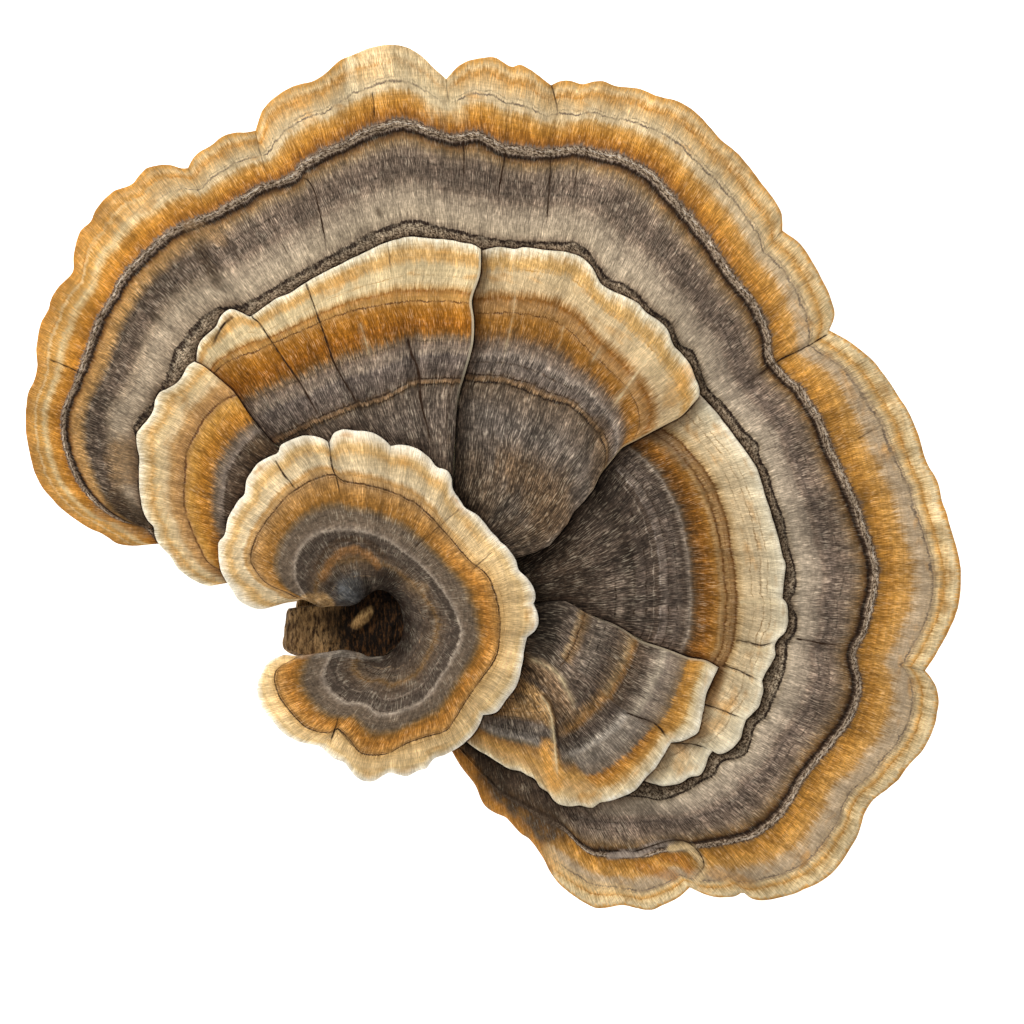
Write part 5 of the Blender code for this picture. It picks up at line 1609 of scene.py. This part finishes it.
def cap_skin(name):
    """Velvety skin of one cap: zones, strips, patches, lines, hairs, creases, edges and painted
    shade under the caps above.
    """
    dress = DRESS[name]
    finish = Finish(f"{name}_skin", 0.85)
    growth = Growth(finish)
    colour, streak = zone_colours(finish, growth, dress["zones"], dress["fray"])
    colour = blushed(finish, growth, colour)
    colour = flecked(finish, growth, colour, dress.get("strips", []), dress["fray"])
    tint = finish.node("ShaderNodeAttribute", {"attribute_name": "tint"}, {})
    patched = Amount(finish, tint.outputs["Alpha"]) * (
        1.0 + 0.3 * growth.hairs + 1.2 * growth.mottled)
    colour = finish.mixed(patched, colour, tint.outputs["Color"])
    bare = 1 - finish.rise(patched, 0.3, 0.8)
    colour = lined(finish, growth, colour, dress["lines"], bare, dress["fray"])
    colour = streaked(finish, growth, colour, streak, dress.get("calm", NEVER_CALM))
    colour = creased(finish, growth, colour)
    colour = edged(finish, growth, colour, dress.get("edges", []))
    colour = shaded(finish, growth, colour)
    height = growth.hairs + 0.6 * growth.tufts + 2.0 * growth.mottled + 1.5 * growth.grain
    return finish.finished(colour, height, SKIN_DEPTH, 0.6)


def pore_face():
    """The cream underside with its small round pores, brown near the root."""
    finish = Finish("cream_pores", 0.8)
    here = finish.place()
    cells = finish.node("ShaderNodeTexVoronoi", {"feature": "F1"},
                        {"Vector": here, "Scale": 3200.0})
    pores = finish.rise(Amount(finish, cells.outputs["Distance"]), 0.18, 0.42)
    broad = finish.noise(here, 140.0, 3.0, 0.55)
    flesh = finish.mixed(broad, paint(CREAM_FLESH), paint(TAN_FLESH))
    colour = finish.mixed(pores, paint(PORE_RIM), flesh)
    root = finish.rise(finish.field("growth"), 0.03, 0.2)
    colour = finish.mixed(root, paint(ROOT_BROWN), colour)
    return finish.finished(colour, pores, PORE_DEPTH, 0.7)


def base_flesh():
    """Mossy brown fibres on the stub, painted shade in the hollow, with a tan nub."""
    finish = Finish("dark_base_flesh", 0.9)
    here = finish.place()
    drawn = finish.node("ShaderNodeVectorMath", {"operation": "MULTIPLY"},
                        {0: here, 1: FIBRE_STRETCH})
    fibres = finish.noise(drawn.outputs[0], 3000.0, 3.0, 0.75)
    broad = finish.noise(here, 300.0, 3.0, 0.6)
    strands = finish.rise(fibres, 0.35, 0.65)
    moss = finish.mixed(strands, paint(MOSS_DARK), paint(MOSS_PALE))
    moss = finish.mixed(finish.rise(broad, 0.35, 0.65) * 0.6, moss, paint(MOSS_BROWN))
    # Painted shade in the hollow under the crown: near-black fibres
    hollow_shade = finish.mixed(finish.rise(fibres, 0.45, 0.7), paint(HOLLOW_SHADE_DARK), paint(HOLLOW_SHADE_BROWN))
    deep = finish.rise(finish.field("hollow"), 0.08, 0.65)
    colour = finish.mixed(deep, moss, hollow_shade)
    tan = finish.mixed(strands, paint(NUB_BROWN), paint(NUB_TAN))
    nub = finish.rise(finish.field("nub") + 0.5 * (broad - 0.5), 0.25, 0.6)
    colour = finish.mixed(nub * 0.9, colour, tan)
    return finish.finished(colour, fibres + 0.6 * broad, FIBRE_DEPTH, 0.8)


# Stage

FLOOR_HALF = 3
FLOOR_WHITE = (0.9, 0.9, 0.9, 1)
WHITE = (1, 1, 1, 1)
FLOOR_GLOW = 0.85
ROOM_LIGHT = 0.64
KEY_POWER = 4.1
KEY_WIDTH = 0.22
KEY_PLACE = (-0.42, 0.42, 0.55)
LENS_MM = 400
SENSOR_MM = 36
VIEW_CENTRE = (512, 512)
CAMERA_HEIGHT = 1.4659


def pale_floor():
    """A plain white floor that isn't part of the rosette."""
    bm = bmesh.new()
    bmesh.ops.create_grid(bm, x_segments=1, y_segments=1, size=FLOOR_HALF)
    mesh = bpy.data.meshes.new("pale_floor")
    bm.to_mesh(mesh)
    bm.free()
    floor = bpy.data.objects.new("pale_floor", mesh)
    bpy.context.scene.collection.objects.link(floor)
    finish = Finish("pale_floor", 0.9)
    finish.shader.inputs["Base Color"].default_value = FLOOR_WHITE
    finish.shader.inputs["Emission Color"].default_value = WHITE
    finish.shader.inputs["Emission Strength"].default_value = FLOOR_GLOW
    mesh.materials.append(finish.material)


def soft_light():
    """An evenly lit white room and one broad lamp from the upper left."""
    world = bpy.data.worlds.new("white_room")
    bpy.context.scene.world = world
    world.use_nodes = True
    room = world.node_tree.nodes["Background"]
    room.inputs["Color"].default_value = WHITE
    room.inputs["Strength"].default_value = ROOM_LIGHT
    lamp = bpy.data.lights.new("key", "AREA")
    lamp.shape = "DISK"
    lamp.size = KEY_WIDTH
    lamp.energy = KEY_POWER
    key = bpy.data.objects.new("key", lamp)
    key.location = KEY_PLACE
    key.rotation_euler = (-key.location).to_track_quat("-Z", "Y").to_euler()
    bpy.context.scene.collection.objects.link(key)
    bpy.context.scene.view_settings.view_transform = "Standard"


def overhead_camera():
    """A long lens straight above the middle of the photograph."""
    lens = bpy.data.cameras.new("overhead")
    lens.lens = LENS_MM
    lens.sensor_width = SENSOR_MM
    lens.clip_start = 0.01
    lens.clip_end = 10
    camera = bpy.data.objects.new("overhead", lens)
    camera.location = (
        (VIEW_CENTRE[0] - MIDDLE[0]) * STEP, (MIDDLE[1] - VIEW_CENTRE[1]) * STEP, CAMERA_HEIGHT)
    bpy.context.scene.collection.objects.link(camera)
    bpy.context.scene.camera = camera


def main():
    """The whole scene: camera, floor, light, caps and base."""
    overhead_camera()
    pale_floor()
    soft_light()
    pores = pore_face()
    for name in CAPS:
        grow_cap(name, pores)
    grow_base()


main()
